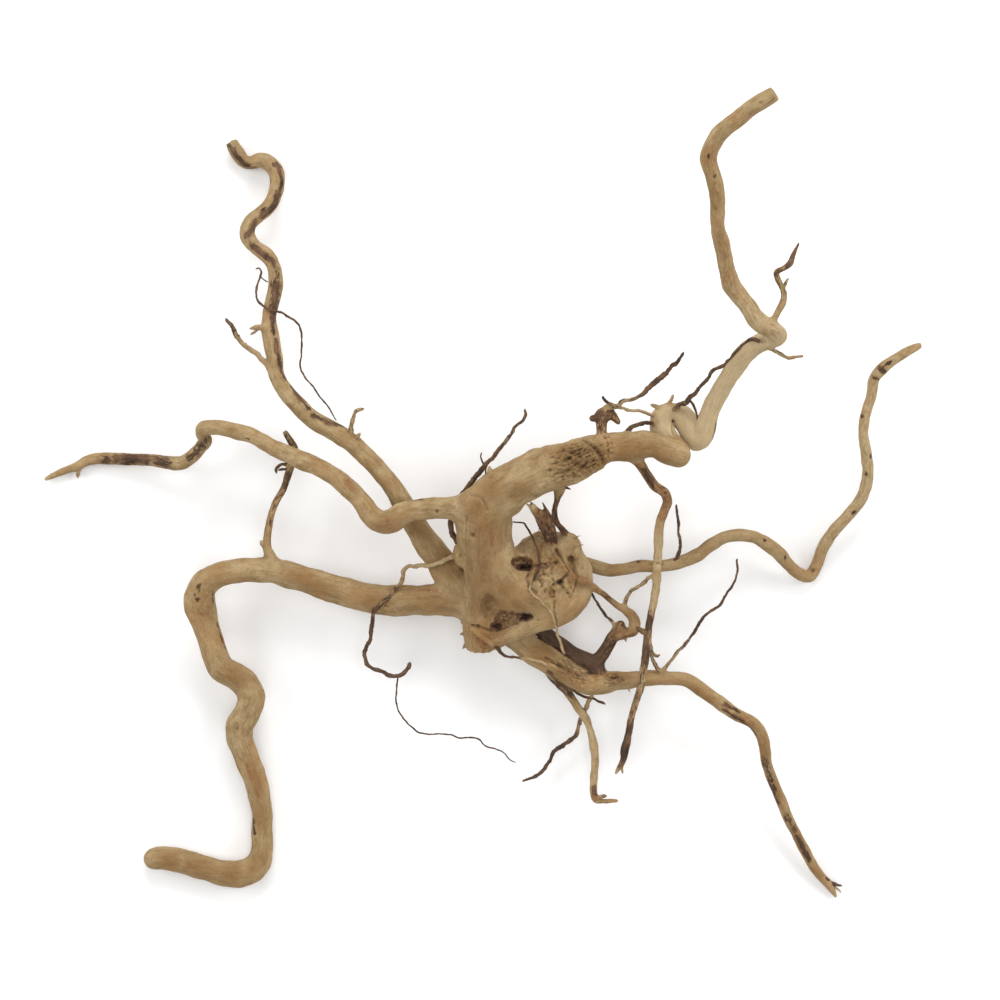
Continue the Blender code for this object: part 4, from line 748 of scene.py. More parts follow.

# Cracks and creases, as half width, depth and the points they run through. They are sunk and given painted
# shade.
GROOVES = [
    (0.6, 0.6, [(-15, 2.5), (-9.5, 1.5), (-7.5, -1.5), (-6.5, -5)]),
    (0.8, 1.5, [(40, 31), (44.5, 28.4), (48.4, 25), (51.2, 20.5), (51.3, 16.5)]),
    (0.35, 0.5, [(-141.5, -61), (-138, -74)]),
    (0.35, 0.3, [(-153.5, -56.5), (-149.5, -58.5), (-145.5, -58)]),
    (0.8, 2.2, [(28.3, -25), (31.2, -29.5), (34.5, -34.5)]),
    (1.0, 2.2, [(35.3, -29.3), (37.3, -33.5), (39.5, -38)]),
    (0.6, 1.3, [(16.5, -32.8), (20, -33), (24, -32), (28, -31)]),
    (0.6, 1.0, [(17.5, -39.5), (21.5, -37), (25.5, -38.5), (28.5, -42.5)]),
    (0.6, 1.1, [(30.2, -41), (33, -38.2), (34.3, -35.5)]),
    (0.6, 1.0, [(30.2, -41), (32, -44.5), (35, -47)]),
    (0.6, 1.0, [(30.2, -41), (26.5, -42.5)]),
    (0.6, 1.0, [(14.8, -33.8), (13.6, -39), (14.6, -43.5), (18, -46)]),
    (0.5, 0.9, [(17.5, -38), (20.5, -41), (22.5, -46)]),
    (0.5, 0.9, [(25, -29), (26.2, -33), (25.6, -37)]),
    (0.5, 0.8, [(38.4, -39.5), (37.6, -44), (35, -48.5)]),
    (0.5, 1.0, [(27.3, -50.5), (26.6, -55), (27.6, -60), (28.2, -63.5)]),
    (0.5, 0.7, [(56, -86.5), (62, -90)]),
    (0.55, 1.2, [(-14.5, -62.8), (-10.5, -63.6), (-6.5, -65), (-3.5, -65.6)]),
    (0.4, 0.5, [(-17.2, -8), (-17.4, -20), (-17, -31)]),
    (0.4, 0.6, [(-17.3, -36), (-17.6, -50)]),
    (0.5, 1.0, [(86.4, 39.5), (86.2, 36.5), (86.6, 33)]),
    (0.6, 1.2, [(23, -79), (28.5, -81.5), (33.5, -85), (39, -87.5)]),
    (0.45, 0.8, [(30, -84.5), (36, -88.5), (42, -90)]),
    (0.4, 0.6, [(44, -86.5), (50, -87), (56, -88.5)]),
    (0.4, 0.7, [(52.5, 31.5), (54.5, 27), (54, 21.5)]),
    (0.35, 0.5, [(55.6, 30), (56.5, 25)]),
    (0.5, 0.3, [(-17, -10), (-13, -6)]),
    (0.5, 0.3, [(-17, -10), (-12.5, -12)]),
    (0.5, 0.8, [(75, -31.8), (81, -32)]),
]

# Raised edges, given in the same way with their height.
RIDGES = [
    (0.9, 1.5, [(-14, -64.8), (-9, -68.5), (-4, -72)]),
    (0.7, 1.0, [(21.8, -43.9), (25.8, -38.2), (29.6, -44.2)]),
    (0.6, 0.8, [(33.8, -37.3), (36.7, -42.4), (36, -46.5)]),
    (0.7, 0.8, [(25.7, -51), (26.2, -56), (27, -61)]),
    (0.8, 0.9, [(17, -34.5), (16.5, -39.5), (15.7, -43.5)]),
    (0.8, 0.9, [(29, -28.5), (33.5, -33), (35.5, -37)]),
    (0.8, 0.8, [(10.5, -78), (19.5, -80.5), (27, -83), (33, -86)]),
    (0.7, 0.9, [(21, -69), (27, -75), (33.5, -81.5)]),
    (1.0, 0.7, [(-16.5, -34), (-16.8, -48), (-16.3, -60)]),
]

# Rough ground, as (x, y, half length along the grain, half width), how high, and its lumps' sizes.
CRAGS = [
    ((40.5, 20.5, 11, 7), 2.1, 1.6, 5.0),
    ((27, 22, 6, 3), 0.5, 1.0, 7.0),
    ((4, -60, 8, 5), 0.8, 2.0, 2.6),
    ((-9, -71, 5, 7), 0.4, 1.2, 3.0),
    ((54, 26, 1.6, 6), 0.8, 1.5, 2.0),
    ((37, -85.5, 9, 5), 0.9, 1.5, 5.0),
    ((57, -90, 5, 2.6), 0.9, 1.3, 3.0),
    ((12, -31, 5, 3), 0.8, 1.5, 2.0),
    ((26, -38, 11, 11), 0.4, 2.6, 4.0),
]

# Broken ground of flat-topped plates, as (x, y, half length, half width), how high, and a plate's size.
PLATES = [
    ((26, -37, 9.5, 10), 0.9, 5.6),
]

# The step along a strip, groove or ridge, and the height above which rough ground has chinks with painted
# shade.
LINE_STEP = 1.5
CHINK_HEIGHT = 0.85

# How wide the cracks between plates are, as a share of a plate, how deep they are, as a share of its
# height, and how the plates' edges wander.
PLATE_CRACK = 0.16
CRACK_DEPTH = 0.5
PLATE_WARP = 0.5
PLATE_WARP_LENGTH = 1.6

# How dark a crack's painted shade is at least, and how much darker it is for each mm of its depth. Strips
# of bark use the same, with how much is left in place of depth.
LEAST_DARKNESS = 0.5
DARKNESS_GROWTH = 0.35

# How often and how far the grown surface and its relief are smoothed, over how many mm the surface is
# levelled to tell what lies sunk in it and what stands out, and how steeply a mark reaches its full
# depth. What lies sunk is given painted shade and what stands out painted light.
SURFACE_SMOOTHING = (3, 0.5)
RELIEF_SMOOTHING = (1, 0.3)
LEVELLING_SHARE = 0.5
DIP_REACH = 1.8
MARK_STEEPNESS = 1.6
CRAG_STEEPNESS = 1.5

# The thickest limb whose relief still grows with it, and how wide and high each kind of relief is.
# Flutes and ridges run along the grain, so they have a width and a length.
THICKEST_RELIEF = 9.0
FLUTE_SIZE = (6.5, 30.0)
FLUTE_HEIGHT = 0.055
SWELL_SIZE = 9.0
SWELL_HEIGHT = 0.075
LUMP_SIZE = 4.2
LUMP_HEIGHT = 0.15
RIDGE_SIZE = (1.4, 8.0)
RIDGE_HEIGHT = 0.06

# How far the grain of two limbs mixes, how far from a limb its grain is looked for, and how far apart
# the grain of one limb and the next is numbered, so that no two limbs have the same streaks.
GRAIN_MIX_REACH = 3.0
GRAIN_REACH = 4.0
GRAIN_OFFSET = 137.0

# Directions that no limb starts in and no mass points in, from which the sideways ones are found.
OFF_THE_LIMBS = (0.36, 0.48, 0.8)
OFF_THE_MASSES = (0.1, 0.2, 1)

# The room left round the limbs in the grid, how near the surface a block is kept, as a share of its half
# diagonal and in mm, a distance beyond all others, and the grid's half width in steps.
BLOCK_MARGIN = 1.5
BLOCK_REACH = 1.3
BLOCK_SLACK = 1.0
FAR = 1e3
GRID_REACH = 1 << 12

# How many spots are looked up at once, to keep the memory small.
SPOTS_AT_ONCE = 20000

WOOD_COLOURS = {
    "light": (0.415, 0.305, 0.162, 1),
    "mid": (0.297, 0.199, 0.095, 1),
    "brown": (0.200, 0.117, 0.048, 1),
    "warm": (0.330, 0.192, 0.083, 1),
    # The colour of painted shade.
    "shade": (0.196, 0.097, 0.032, 1),
    # Dark pores, and the colour of painted shade in sunk places and chinks.
    "pore_and_painted_shade": (0.085, 0.047, 0.022, 1),
    "rust": (0.165, 0.070, 0.030, 1),
    "rust_light": (0.335, 0.165, 0.070, 1),
    "pale": (0.515, 0.400, 0.235, 1),
    "stain": (0.140, 0.082, 0.045, 1),
    "bark": (0.052, 0.031, 0.021, 1),
    "bark_light": (0.150, 0.078, 0.043, 1),
    # The colours of painted shade in hollows, cracks and pits.
    "painted_cavity_shade": (0.034, 0.016, 0.012, 1),
    "painted_cavity_shade_pale": (0.135, 0.068, 0.048, 1),
}


def seen_share(height):
    """How long a thing at this height is, if it looks as long as 1 on the picture's plane."""
    return (EYE_HEIGHT - height) / (EYE_HEIGHT - PICTURE_HEIGHT)


def placed(knots):
    """A route's rows of (x, y, height, radius) as rows of (x, y, z, radius) in the row frame."""
    knots = np.array(knots, float)
    share = seen_share(knots[:, 2])
    flat = knots[:, :2] * share[:, None] + (PICTURE_X, PICTURE_Y)
    return np.column_stack([flat, knots[:, 2] - TABLE_HEIGHT, knots[:, 3] * share])


# Noise

GRADIENTS = np.array([g for g in product((-1, 0, 1), repeat=3) if np.abs(g).sum() == 2], np.float32)
CELL_PRIMES = (73856093, 19349663, 83492791)
SEED_PRIME = 668265263
MIXING_PRIME = 1274126177
LARGEST_INTEGER = 0x7FFFFFFF
NOISE_GAIN = 1.5
HASH_DIRECTION = (12.9898, 78.233, 37.719)
HASH_SEED_STEP = 3.17
HASH_STEPS = (0, 1.7, 4.1, 9.3)
HASH_SCALE = 43758.5453


def noise(spots, seed=0):
    """Smooth noise from about -1 to 1 at each spot, with one lump to a unit. Each use has its own seed."""
    spots = np.asarray(spots, np.float32)
    cell = np.floor(spots).astype(np.int64)
    part = spots - cell
    fade = part * part * part * (part * (part * 6 - 15) + 10)
    total = np.zeros(len(spots), np.float32)
    for corner in product((0, 1), repeat=3):
        x, y, z = (cell + corner).T * np.array(CELL_PRIMES)[:, None]
        mixed = x ^ y ^ z ^ (seed * SEED_PRIME)
        mixed = ((mixed ^ (mixed >> 13)) * MIXING_PRIME) & LARGEST_INTEGER
        gradient = GRADIENTS[(mixed >> 7) % len(GRADIENTS)]
        weight = np.prod(np.where(corner, fade, 1 - fade), axis=1)
        total += weight * ((part - corner) * gradient).sum(axis=1)
    return total * NOISE_GAIN


# Limbs and masses


def smooth_line(knots):
    """Rows of (x, y, z, radius) on the smooth curve through the knots."""
    padded = np.vstack([2 * knots[0] - knots[1], knots, 2 * knots[-1] - knots[-2]])
    rows = []
    for before, start, end, after in zip(padded, padded[1:], padded[2:], padded[3:]):
        walk = np.linalg.norm((end - start)[:3])
        step = np.clip(STEP_PER_RADIUS * start[3], SHORTEST_STEP, LONGEST_STEP)
        share = np.linspace(0, 1, math.ceil(walk / step), endpoint=False)[:, None]
        rows.append(
            0.5
            * (
                2 * start
                + (end - before) * share
                + (2 * before - 5 * start + 4 * end - after) * share**2
                + (3 * start - before - 3 * end + after) * share**3
            )
        )
    return np.vstack(rows + [knots[-1:]])


def unit(vectors):
    """The vectors at a length of 1."""
    return vectors / np.linalg.norm(vectors, axis=-1, keepdims=True)


class Limb:
    """A limb along a smooth line, with the directions along and across it at each of its points."""

    def __init__(self, name, line, blend=1.0, end="round"):
        self.name = name
        self.blend = blend
        self.end = end
        self.spots = line[:, :3]
        self.radii = line[:, 3]
        self.runs = np.diff(self.spots, axis=0)
        lengths = np.linalg.norm(self.runs, axis=1)
        self.walked = np.concatenate([[0], np.cumsum(lengths)])
        self.length = self.walked[-1]
        self.headings = unit(np.gradient(self.spots, axis=0))
        self.sides = self.carried_sides()
        self.others = np.cross(self.headings, self.sides)

    def carried_sides(self):
        """A crosswise direction carried along the line without twisting round it."""
        side = np.cross(self.headings[0], OFF_THE_LIMBS)
        sides = []
        for heading in self.headings:
            side = unit(side - heading * (side @ heading))
            sides.append(side)
        return np.array(sides)

    def gaps(self, spots):
        """Each spot's distance to the surface round each run, and its share of the way along it."""
        starts = self.spots[:-1]
        squares = (self.runs**2).sum(axis=1)
        along = spots @ self.runs.T - (starts * self.runs).sum(axis=1)
        share = np.clip(along / squares, 0, 1)
        away = (spots**2).sum(axis=1)[:, None] - 2 * spots @ starts.T + (starts**2).sum(axis=1)
        away = np.sqrt(np.maximum(away - 2 * share * along + share**2 * squares, 0))
        return away - (self.radii[:-1] + share * np.diff(self.radii)), share

    def fill(self, samples, centres, reach):
        """The distance to the surface at the samples, given in blocks round these centres."""
        gaps, _ = self.gaps(centres)
        order = np.argsort(gaps, axis=1)
        ranked = np.take_along_axis(gaps, order, axis=1)
        counts = (ranked <= ranked[:, :1] + reach).sum(axis=1)
        best = np.full(samples.shape[:2], np.inf, np.float32)
        starts = self.spots.astype(np.float32)
        runs = self.runs.astype(np.float32)
        squares = (runs**2).sum(axis=1)
        radii = self.radii.astype(np.float32)
        growth = np.diff(radii)
        for rank in range(counts.max()):
            use = np.flatnonzero(counts > rank)
            run = order[use, rank]
            away = samples[use] - starts[run][:, None]
            along = np.einsum("ijk,ik->ij", away, runs[run])
            share = np.clip(along / squares[run][:, None], 0, 1)
            away -= share[:, :, None] * runs[run][:, None]
            gap = np.sqrt(np.einsum("ijk,ijk->ij", away, away))
            gap -= radii[run][:, None] + share * growth[run][:, None]
            best[use] = np.minimum(best[use], gap)
        if self.end != "round":
            best = np.maximum(best, self.past_the_cut(samples))
        return best

    def past_the_cut(self, samples):
        """How far samples lie past a sawn or broken end, whose fibres end at different lengths."""
        away = samples - self.spots[-1]
        raggedness, width = CUT_ENDS[self.end]
        fibre = away - (away @ self.headings[-1])[..., None] * self.headings[-1] * FIBRE_STRETCH
        ragged = noise(fibre.reshape(-1, 3) / width, seed=len(self.name)).reshape(samples.shape[:-1])
        return away @ self.headings[-1] - raggedness * ragged

    def grain(self, spots):
        """The distance to each spot, its coordinates along the grain, its heading and thickness."""
        gaps, share = self.gaps(spots)
        run = gaps.argmin(axis=1)
        row = np.arange(len(spots))
        share = share[row, run][:, None]

        def between(values):
            return values[run] * (1 - share) + values[run + 1] * share

        away = spots - between(self.spots)
        across = (away * between(self.sides)).sum(axis=1)
        other = (away * between(self.others)).sum(axis=1)
        walked = between(self.walked[:, None])[:, 0]
        coordinates = np.column_stack([across, other, walked])
        return gaps[row, run], coordinates, between(self.headings), between(self.radii[:, None])[:, 0]


class Mass:
    """An egg-shaped swelling of the hub, with its grain along one direction."""

    raggedness = 0.0

    def __init__(self, name, middle, half_sizes, blend, heading):
        share = seen_share(middle[2])
        self.name = name
        self.blend = blend
        self.middle = placed([(*middle, 1)])[0, :3]
        self.halves = np.array([half_sizes[0] * share, half_sizes[1] * share, half_sizes[2]])
        self.heading = unit(np.array(heading, float))
        self.side = unit(np.cross(self.heading, OFF_THE_MASSES))
        self.length = 1.0

    def gap(self, spots):
        """About how far each spot lies from the surface, less than 0 inside."""
        away = (spots - self.middle).astype(np.float32)
        scaled = np.linalg.norm(away / self.halves, axis=-1)
        slope = np.linalg.norm(away / self.halves**2, axis=-1)
        return scaled * (scaled - 1) / np.maximum(slope, 1e-3)

    def gaps(self, spots):
        gap = self.gap(spots)[:, None]
        return gap, np.zeros_like(gap)

    def fill(self, samples, centres, reach):
        gap = self.gap(samples)
        if self.raggedness:
            lumps = noise(samples.reshape(-1, 3) / HOLLOW_LUMP, 31).reshape(gap.shape)
            gap += self.raggedness * lumps
        return gap

    def grain(self, spots):
        away = spots - self.middle
        other = np.cross(self.heading, self.side)
        coordinates = np.column_stack([away @ self.side, away @ other, away @ self.heading])
        headings = np.repeat(self.heading[None], len(spots), axis=0)
        thickness = np.full(len(spots), self.halves.min() * MASS_THICKNESS)
        return self.gap(spots), coordinates, headings, thickness


class Hollow(Mass):
    """An egg-shaped hollow with a ragged wall."""

    raggedness = HOLLOW_RAGGEDNESS


# Growing the limbs together


def soft_least(a, b, blend):
    """The lesser of two distances, with the crease between them filled over a blend."""
    overlap = np.maximum(blend - np.abs(a - b), 0)
    return np.minimum(a, b) - overlap * overlap / (4 * blend)


def joined(parts, reached, shape):
    """The distance to the whole wood. reached(part) gives the rows near a part and their distance."""
    sides = []
    for side in ("front", "back"):
        least = np.full(shape, FAR, np.float32)
        for part in parts[side]:
            rows, gap = reached(part)
            least[rows] = soft_least(least[rows], gap, part.blend)
        sides.append(least)
    least = soft_least(*sides, FRONT_TO_BACK_BLEND)
    for part in parts["hollows"]:
        rows, gap = reached(part)
        least[rows] = -soft_least(-least[rows], gap, part.blend)
    return least


def blocks_near(parts, block):
    """The whole-number places of the grid's blocks that lie in or near any part."""
    found = []
    for part in parts:
        is_mass = isinstance(part, Mass)
        spots = part.middle[None] if is_mass else part.spots
        radii = part.halves.max()[None] if is_mass else part.radii
        for spot, radius in zip(spots, radii + BLOCK_MARGIN):
            low = np.floor((spot - radius) / block).astype(int)
            high = np.floor((spot + radius) / block).astype(int)
            ranges = [np.arange(a, b + 1) for a, b in zip(low, high)]
            found.append(np.stack(np.meshgrid(*ranges, indexing="ij"), axis=-1).reshape(-1, 3))
        found = [np.unique(np.vstack(found), axis=0)]
    return found[0]


def grown_surface(parts):
    """The points and four-sided faces of the surface round all the parts, on a sparse grid."""
    block = GRID_STEP * BLOCK_CELLS
    half_diagonal = block * math.sqrt(3) / 2
    blocks = blocks_near(parts["front"] + parts["back"], block)
    centres = (blocks + 0.5) * block
    nearest = {}

    def reached_centres(part):
        nearest[part.name] = part.gaps(centres)[0].min(axis=1)
        return slice(None), nearest[part.name]

    middle = joined(parts, reached_centres, len(blocks))
    keep = np.abs(middle) <= BLOCK_REACH * half_diagonal + BLOCK_SLACK
    blocks, centres, middle = blocks[keep], centres[keep], middle[keep]
    nearest = {name: gap[keep] for name, gap in nearest.items()}

    side = BLOCK_CELLS + 1
    offsets = np.stack(np.meshgrid(*[np.arange(side)] * 3, indexing="ij"), axis=-1).reshape(-1, 3)
    corners = blocks[:, None] * BLOCK_CELLS + offsets
    samples = corners.astype(np.float32) * np.float32(GRID_STEP)

    def reached_samples(part):
        rows = np.flatnonzero(nearest[part.name] <= np.abs(middle) + 2 * half_diagonal + part.blend)
        return rows, part.fill(samples[rows], centres[rows], half_diagonal + 0.5)

    values = joined(parts, reached_samples, samples.shape[:2])
    _, first, back = np.unique(grid_keys(corners.reshape(-1, 3)), return_index=True, return_inverse=True)
    values = values.reshape(-1)[first][back]
    return surface_net(blocks, values.reshape(-1, side, side, side))


def grid_keys(places):
    """One whole number for each place on the grid."""
    places = places.astype(np.int64) + GRID_REACH
    return (places[:, 0] * (2 * GRID_REACH) + places[:, 1]) * (2 * GRID_REACH) + places[:, 2]


def surface_net(blocks, values):
    """A point in each cell that the surface passes through, and a face across each edge it cuts."""
    n = BLOCK_CELLS
    corner_steps = np.array(list(product((0, 1), repeat=3)))
    corners = np.stack(
        [values[:, i : i + n, j : j + n, k : k + n] for i, j, k in corner_steps], axis=-1
    )
    inside = corners < 0
    cut = np.nonzero(inside.any(axis=-1) & ~inside.all(axis=-1))
    corners, inside = corners[cut], inside[cut]
    cells = blocks[cut[0]] * n + np.column_stack(cut[1:])

    total = np.zeros((len(cells), 3))
    crossings = np.zeros(len(cells))
    for a, b in product(range(8), repeat=2):
        step = corner_steps[b] - corner_steps[a]
        if a < b and np.abs(step).sum() == 1:
            crossed = inside[:, a] != inside[:, b]
            share = corners[:, a] / np.where(crossed, corners[:, a] - corners[:, b], 1)
            total += np.where(crossed[:, None], corner_steps[a] + share[:, None] * step, 0)
            crossings += crossed
    points = (cells + total / crossings[:, None]) * GRID_STEP

    keys = grid_keys(cells)
    order = np.argsort(keys)
    keys, cells = keys[order], cells[order]
    points, inside = points[order], inside[order]
    faces = []
    for axis in range(3):
        one, two = np.eye(3, dtype=int)[[(axis + 1) % 3, (axis + 2) % 3]]
        far_corner = 4 >> axis
        crossed = np.flatnonzero(inside[:, 0] != inside[:, far_corner])
        around = [cells[crossed], cells[crossed] - one, cells[crossed] - one - two, cells[crossed] - two]
        face = np.column_stack([np.searchsorted(keys, grid_keys(place)) for place in around])
        outward = inside[crossed, 0]
        faces.append(np.where(outward[:, None], face, face[:, ::-1]))
    return points, np.vstack(faces)


# Mesh helpers


def edge_pairs(faces):
    """The two ends of each edge of four-sided faces."""
    return np.vstack([np.column_stack([faces[:, i], np.roll(faces, -1, axis=1)[:, i]]) for i in range(4)])


def smoothed(points, faces, rounds, share):
    """The points moved towards their neighbours' middle."""
    pairs = edge_pairs(faces)
    count = np.bincount(pairs[:, 0], minlength=len(points))[:, None]
    for _ in range(rounds):
        total = np.column_stack(
            [np.bincount(pairs[:, 0], points[pairs[:, 1], axis], len(points)) for axis in range(3)]
        )
        points = points + share * (total / count - points)
    return points


def normals_of(points, faces):
    """Each point's outward direction."""
    a, b, c, d = (points[faces[:, i]] for i in range(4))
    across = np.cross(c - a, d - b)
    total = np.zeros_like(points)
    for axis in range(3):
        for i in range(4):
            total[:, axis] += np.bincount(faces[:, i], across[:, axis], len(points))
    return unit(total + 1e-12)


def grain_of(parts, spots):
    """The wood's grain at each spot, in its nearest part and in the next one."""
    best = np.zeros((2, len(spots), 9))
    best[:, :, 0] = FAR
    for number, part in enumerate(parts):
        is_mass = isinstance(part, Mass)
        middles = part.middle if is_mass else part.spots
        radii = part.halves if is_mass else part.radii[:, None]
        low = np.atleast_2d(middles - radii).min(axis=0) - GRAIN_REACH
        high = np.atleast_2d(middles + radii).max(axis=0) + GRAIN_REACH
        near = np.flatnonzero(((spots > low) & (spots < high)).all(axis=1))
        for use in np.array_split(near, len(near) // SPOTS_AT_ONCE + 1):
            if len(use) == 0:
                continue
            found = np.column_stack([*part.grain(spots[use]), np.full(len(use), number)])
            found[:, 3] += GRAIN_OFFSET * number
            first = found[:, 0] < best[0, use, 0]
            best[1, use[first]] = best[0, use[first]]
            best[0, use[first]] = found[first]
            second = ~first & (found[:, 0] < best[1, use, 0])
            best[1, use[second]] = found[second]
    mix = np.clip(0.5 - (best[1, :, 0] - best[0, :, 0]) / (2 * GRAIN_MIX_REACH), 0, 0.5)
    return {
        "grain": best[:, :, 1:4],
        "heading": best[0, :, 4:7],
        "thickness": best[0, :, 7] * (1 - mix) + best[1, :, 7] * mix,
        "part": best[:, :, 8].astype(int),
        "mix": mix,
    }


def streaked(grain, width, length):
    """Coordinates for noise whose lumps are width across the grain and length along it."""
    return grain / (width, width, length)


def mixed_along_grain(wood, width, length, seed):
    """Noise stretched along the grain, mixed where one limb grows into the next."""
    here = noise(streaked(wood["grain"][0], width, length), seed)
    there = noise(streaked(wood["grain"][1], width, length), seed)
    return here * (1 - wood["mix"]) + there * wood["mix"]


def trait_along(name, trait, usual, shares):
    """How much of a trait a limb has at these shares of the way along it."""
    amount = TRAITS.get(name, {}).get(trait, usual)
    if isinstance(amount, list):
        return np.interp(shares, *zip(*amount))
    return np.full(len(shares), float(amount))


def per_part(parts, wood, trait):
    """A trait of the limbs at each spot, mixed where one limb grows into the next."""
    values = np.zeros(wood["part"].shape)
    for which, number in product((0, 1), range(len(parts))):
        part = parts[number]
        rows = np.flatnonzero(wood["part"][which] == number)
        shares = (wood["grain"][which, rows, 2] - GRAIN_OFFSET * number) / part.length
        values[which, rows] = trait_along(part.name, trait, USUAL_TRAITS[trait], shares)
    return values[0] * (1 - wood["mix"]) + values[1] * wood["mix"]


def ridged(wood, width, length, seed):
    """Sharp-edged hollows between worm-like ridges, from -1 to about 0.5."""
    return 0.5 - 1.6 * np.abs(mixed_along_grain(wood, width, length, seed))


def relief(spots, parts, wood):
    """How far the wood's fine relief stands out of the limbs at each spot."""
    rough = per_part(parts, wood, "rough")
    thick = np.minimum(wood["thickness"], THICKEST_RELIEF)
    flutes = mixed_along_grain(wood, *FLUTE_SIZE, 1) * FLUTE_HEIGHT * thick
    swells = noise(spots / SWELL_SIZE, 2) * SWELL_HEIGHT * thick
    lumps = noise(spots / LUMP_SIZE, 3) * LUMP_HEIGHT * rough
    ridges = mixed_along_grain(wood, *RIDGE_SIZE, 4) * RIDGE_HEIGHT
    return flutes + swells + lumps + ridges * rough


def hashed(places, seed):
    """Four numbers from 0 to 1 for each place on a grid, always the same for the same place."""
    spin = places @ np.array(HASH_DIRECTION) + seed * HASH_SEED_STEP
    return np.modf(np.abs(np.sin(spin[:, None] + HASH_STEPS)) * HASH_SCALE)[0]


def plates(spots, size, seed):
    """How high each spot's plate stands, from -1 to 1, less a crack between it and the next."""
    scaled = spots / size
    cell = np.floor(scaled)
    nearest = np.full(len(spots), FAR)
    second = nearest.copy()
    height = np.zeros(len(spots))
    for step in product((-1, 0, 1), repeat=3):
        place = cell + step
        values = hashed(place, seed)
        away = np.linalg.norm(place + values[:, :3] - scaled, axis=1)
        closer = away < nearest
        second = np.where(closer, nearest, np.minimum(second, away))
        nearest = np.where(closer, away, nearest)
        height = np.where(closer, 2 * values[:, 3] - 1, height)
    return height - CRACK_DEPTH * np.clip(1 - (second - nearest) / PLATE_CRACK, 0, 1)


# Marks on the wood, found by looking straight down at it


class Surface:
    """The grown surface as the eye above it sees it."""

    def __init__(self, points, faces):
        self.tree = BVHTree.FromPolygons(points.tolist(), faces.tolist())
        self.eye = Vector((PICTURE_X, PICTURE_Y, EYE_HEIGHT - TABLE_HEIGHT))

    def seen_at(self, x, y):
        """The place on the wood that the eye sees at this place of the picture's plane, or None."""
        aim = Vector((x + PICTURE_X, y + PICTURE_Y, PICTURE_HEIGHT - TABLE_HEIGHT))
        return self.tree.ray_cast(self.eye, (aim - self.eye).normalized())[0]


def nearness(spots, middle, heading, along, across):
    """1 at a mark's middle, a half at its edge and 0 at twice its size."""
    away = spots - middle
    run = away @ heading
    off = np.maximum((away**2).sum(axis=1) - run**2, 0)
    return np.maximum(1 - 0.5 * np.sqrt((run / along) ** 2 + off / across**2), 0)


def marks_on(spots, surface, parts, marks):
    """How near each spot is to the nearest of some marks, given as (x, y, along, across)."""
    hits = [surface.seen_at(x, y) for x, y, _, _ in marks]
    found = [(np.array(hit), along, across) for hit, (_, _, along, across) in zip(hits, marks) if hit]
    amount = np.zeros(len(spots))
    if not found:
        return amount
    headings = grain_of(parts, np.array([hit for hit, _, _ in found]))["heading"]
    for (hit, along, across), heading in zip(found, headings):
        amount = np.maximum(amount, nearness(spots, hit, heading, along, across))
    return amount


def filled_in(points):
    """A line's points with others between them, so that it follows the surface."""
    line = np.array(points, dtype=float)
    reach = np.concatenate([[0], np.cumsum(np.linalg.norm(np.diff(line, axis=0), axis=1))])
    stops = np.linspace(0, reach[-1], max(int(reach[-1] / LINE_STEP), 1) + 1)
    return np.column_stack([np.interp(stops, reach, line[:, axis]) for axis in (0, 1)]).tolist()


def grooves_on(spots, surface, lines):
    """How near each spot is to the nearest of some lines, given as (half width, depth, points)."""
    amount = np.zeros(len(spots))
    depths = np.zeros(len(spots))
    for half_width, depth, points in lines:
        hits = [np.array(hit) for hit in (surface.seen_at(x, y) for x, y in filled_in(points)) if hit]
        for start, end in zip(hits, hits[1:]):
            run = end - start
            share = np.clip((spots - start) @ run / (run @ run), 0, 1)
            away = np.linalg.norm(spots - start - share[:, None] * run, axis=1)
            near = np.maximum(1 - 0.5 * away / half_width, 0)
            amount = np.maximum(amount, near * min(LEAST_DARKNESS + DARKNESS_GROWTH * depth, 1))
            depths = np.maximum(depths, depth * np.clip(2 * near, 0, 1) ** 2)
    return amount, depths


# Meshes


def finish_piece(name, mesh, material, values):
    """A smooth object from a mesh, with its values stored on its points."""
    for key, value in values.items():
        kind = "FLOAT_VECTOR" if value.ndim == 2 else "FLOAT"
        attribute = mesh.attributes.new(key, kind, "POINT")
        field = "vector" if value.ndim == 2 else "value"
        attribute.data.foreach_set(field, value.astype(np.float32).ravel())
    mesh.materials.clear()
    mesh.materials.append(material)
    mesh.shade_smooth()
    piece = bpy.data.objects.new(name, mesh)
    bpy.context.scene.collection.objects.link(piece)
    return piece


def thinned(points, faces, triangles):
    """The same surface as a mesh of about so many triangles, more of them where it bends."""
    mesh = bpy.data.meshes.new("dense_surface")
    mesh.from_pydata((points * MM).tolist(), [], faces.tolist())
    dense = bpy.data.objects.new("dense_surface", mesh)
    bpy.context.scene.collection.objects.link(dense)
    modifier = dense.modifiers.new("thin_out", "DECIMATE")
    modifier.ratio = min(1.0, triangles / (2 * len(faces)))
    graph = bpy.context.evaluated_depsgraph_get()
    thin = bpy.data.meshes.new_from_object(dense.evaluated_get(graph))
    bpy.data.objects.remove(dense)
    bpy.data.meshes.remove(mesh)
    return thin


def points_of(mesh):
    """A mesh's points in millimetres."""
    flat = np.empty(len(mesh.vertices) * 3, np.float32)
    mesh.vertices.foreach_get("co", flat)
    return flat.reshape(-1, 3).astype(float) / MM


def nearest_rows(points, spots):
    """For each spot, which of the points is nearest."""
    tree = KDTree(len(points))
    for row, point in enumerate(points.tolist()):
        tree.insert(point, row)
    tree.balance()
    return np.array([tree.find(spot)[1] for spot in spots.tolist()])


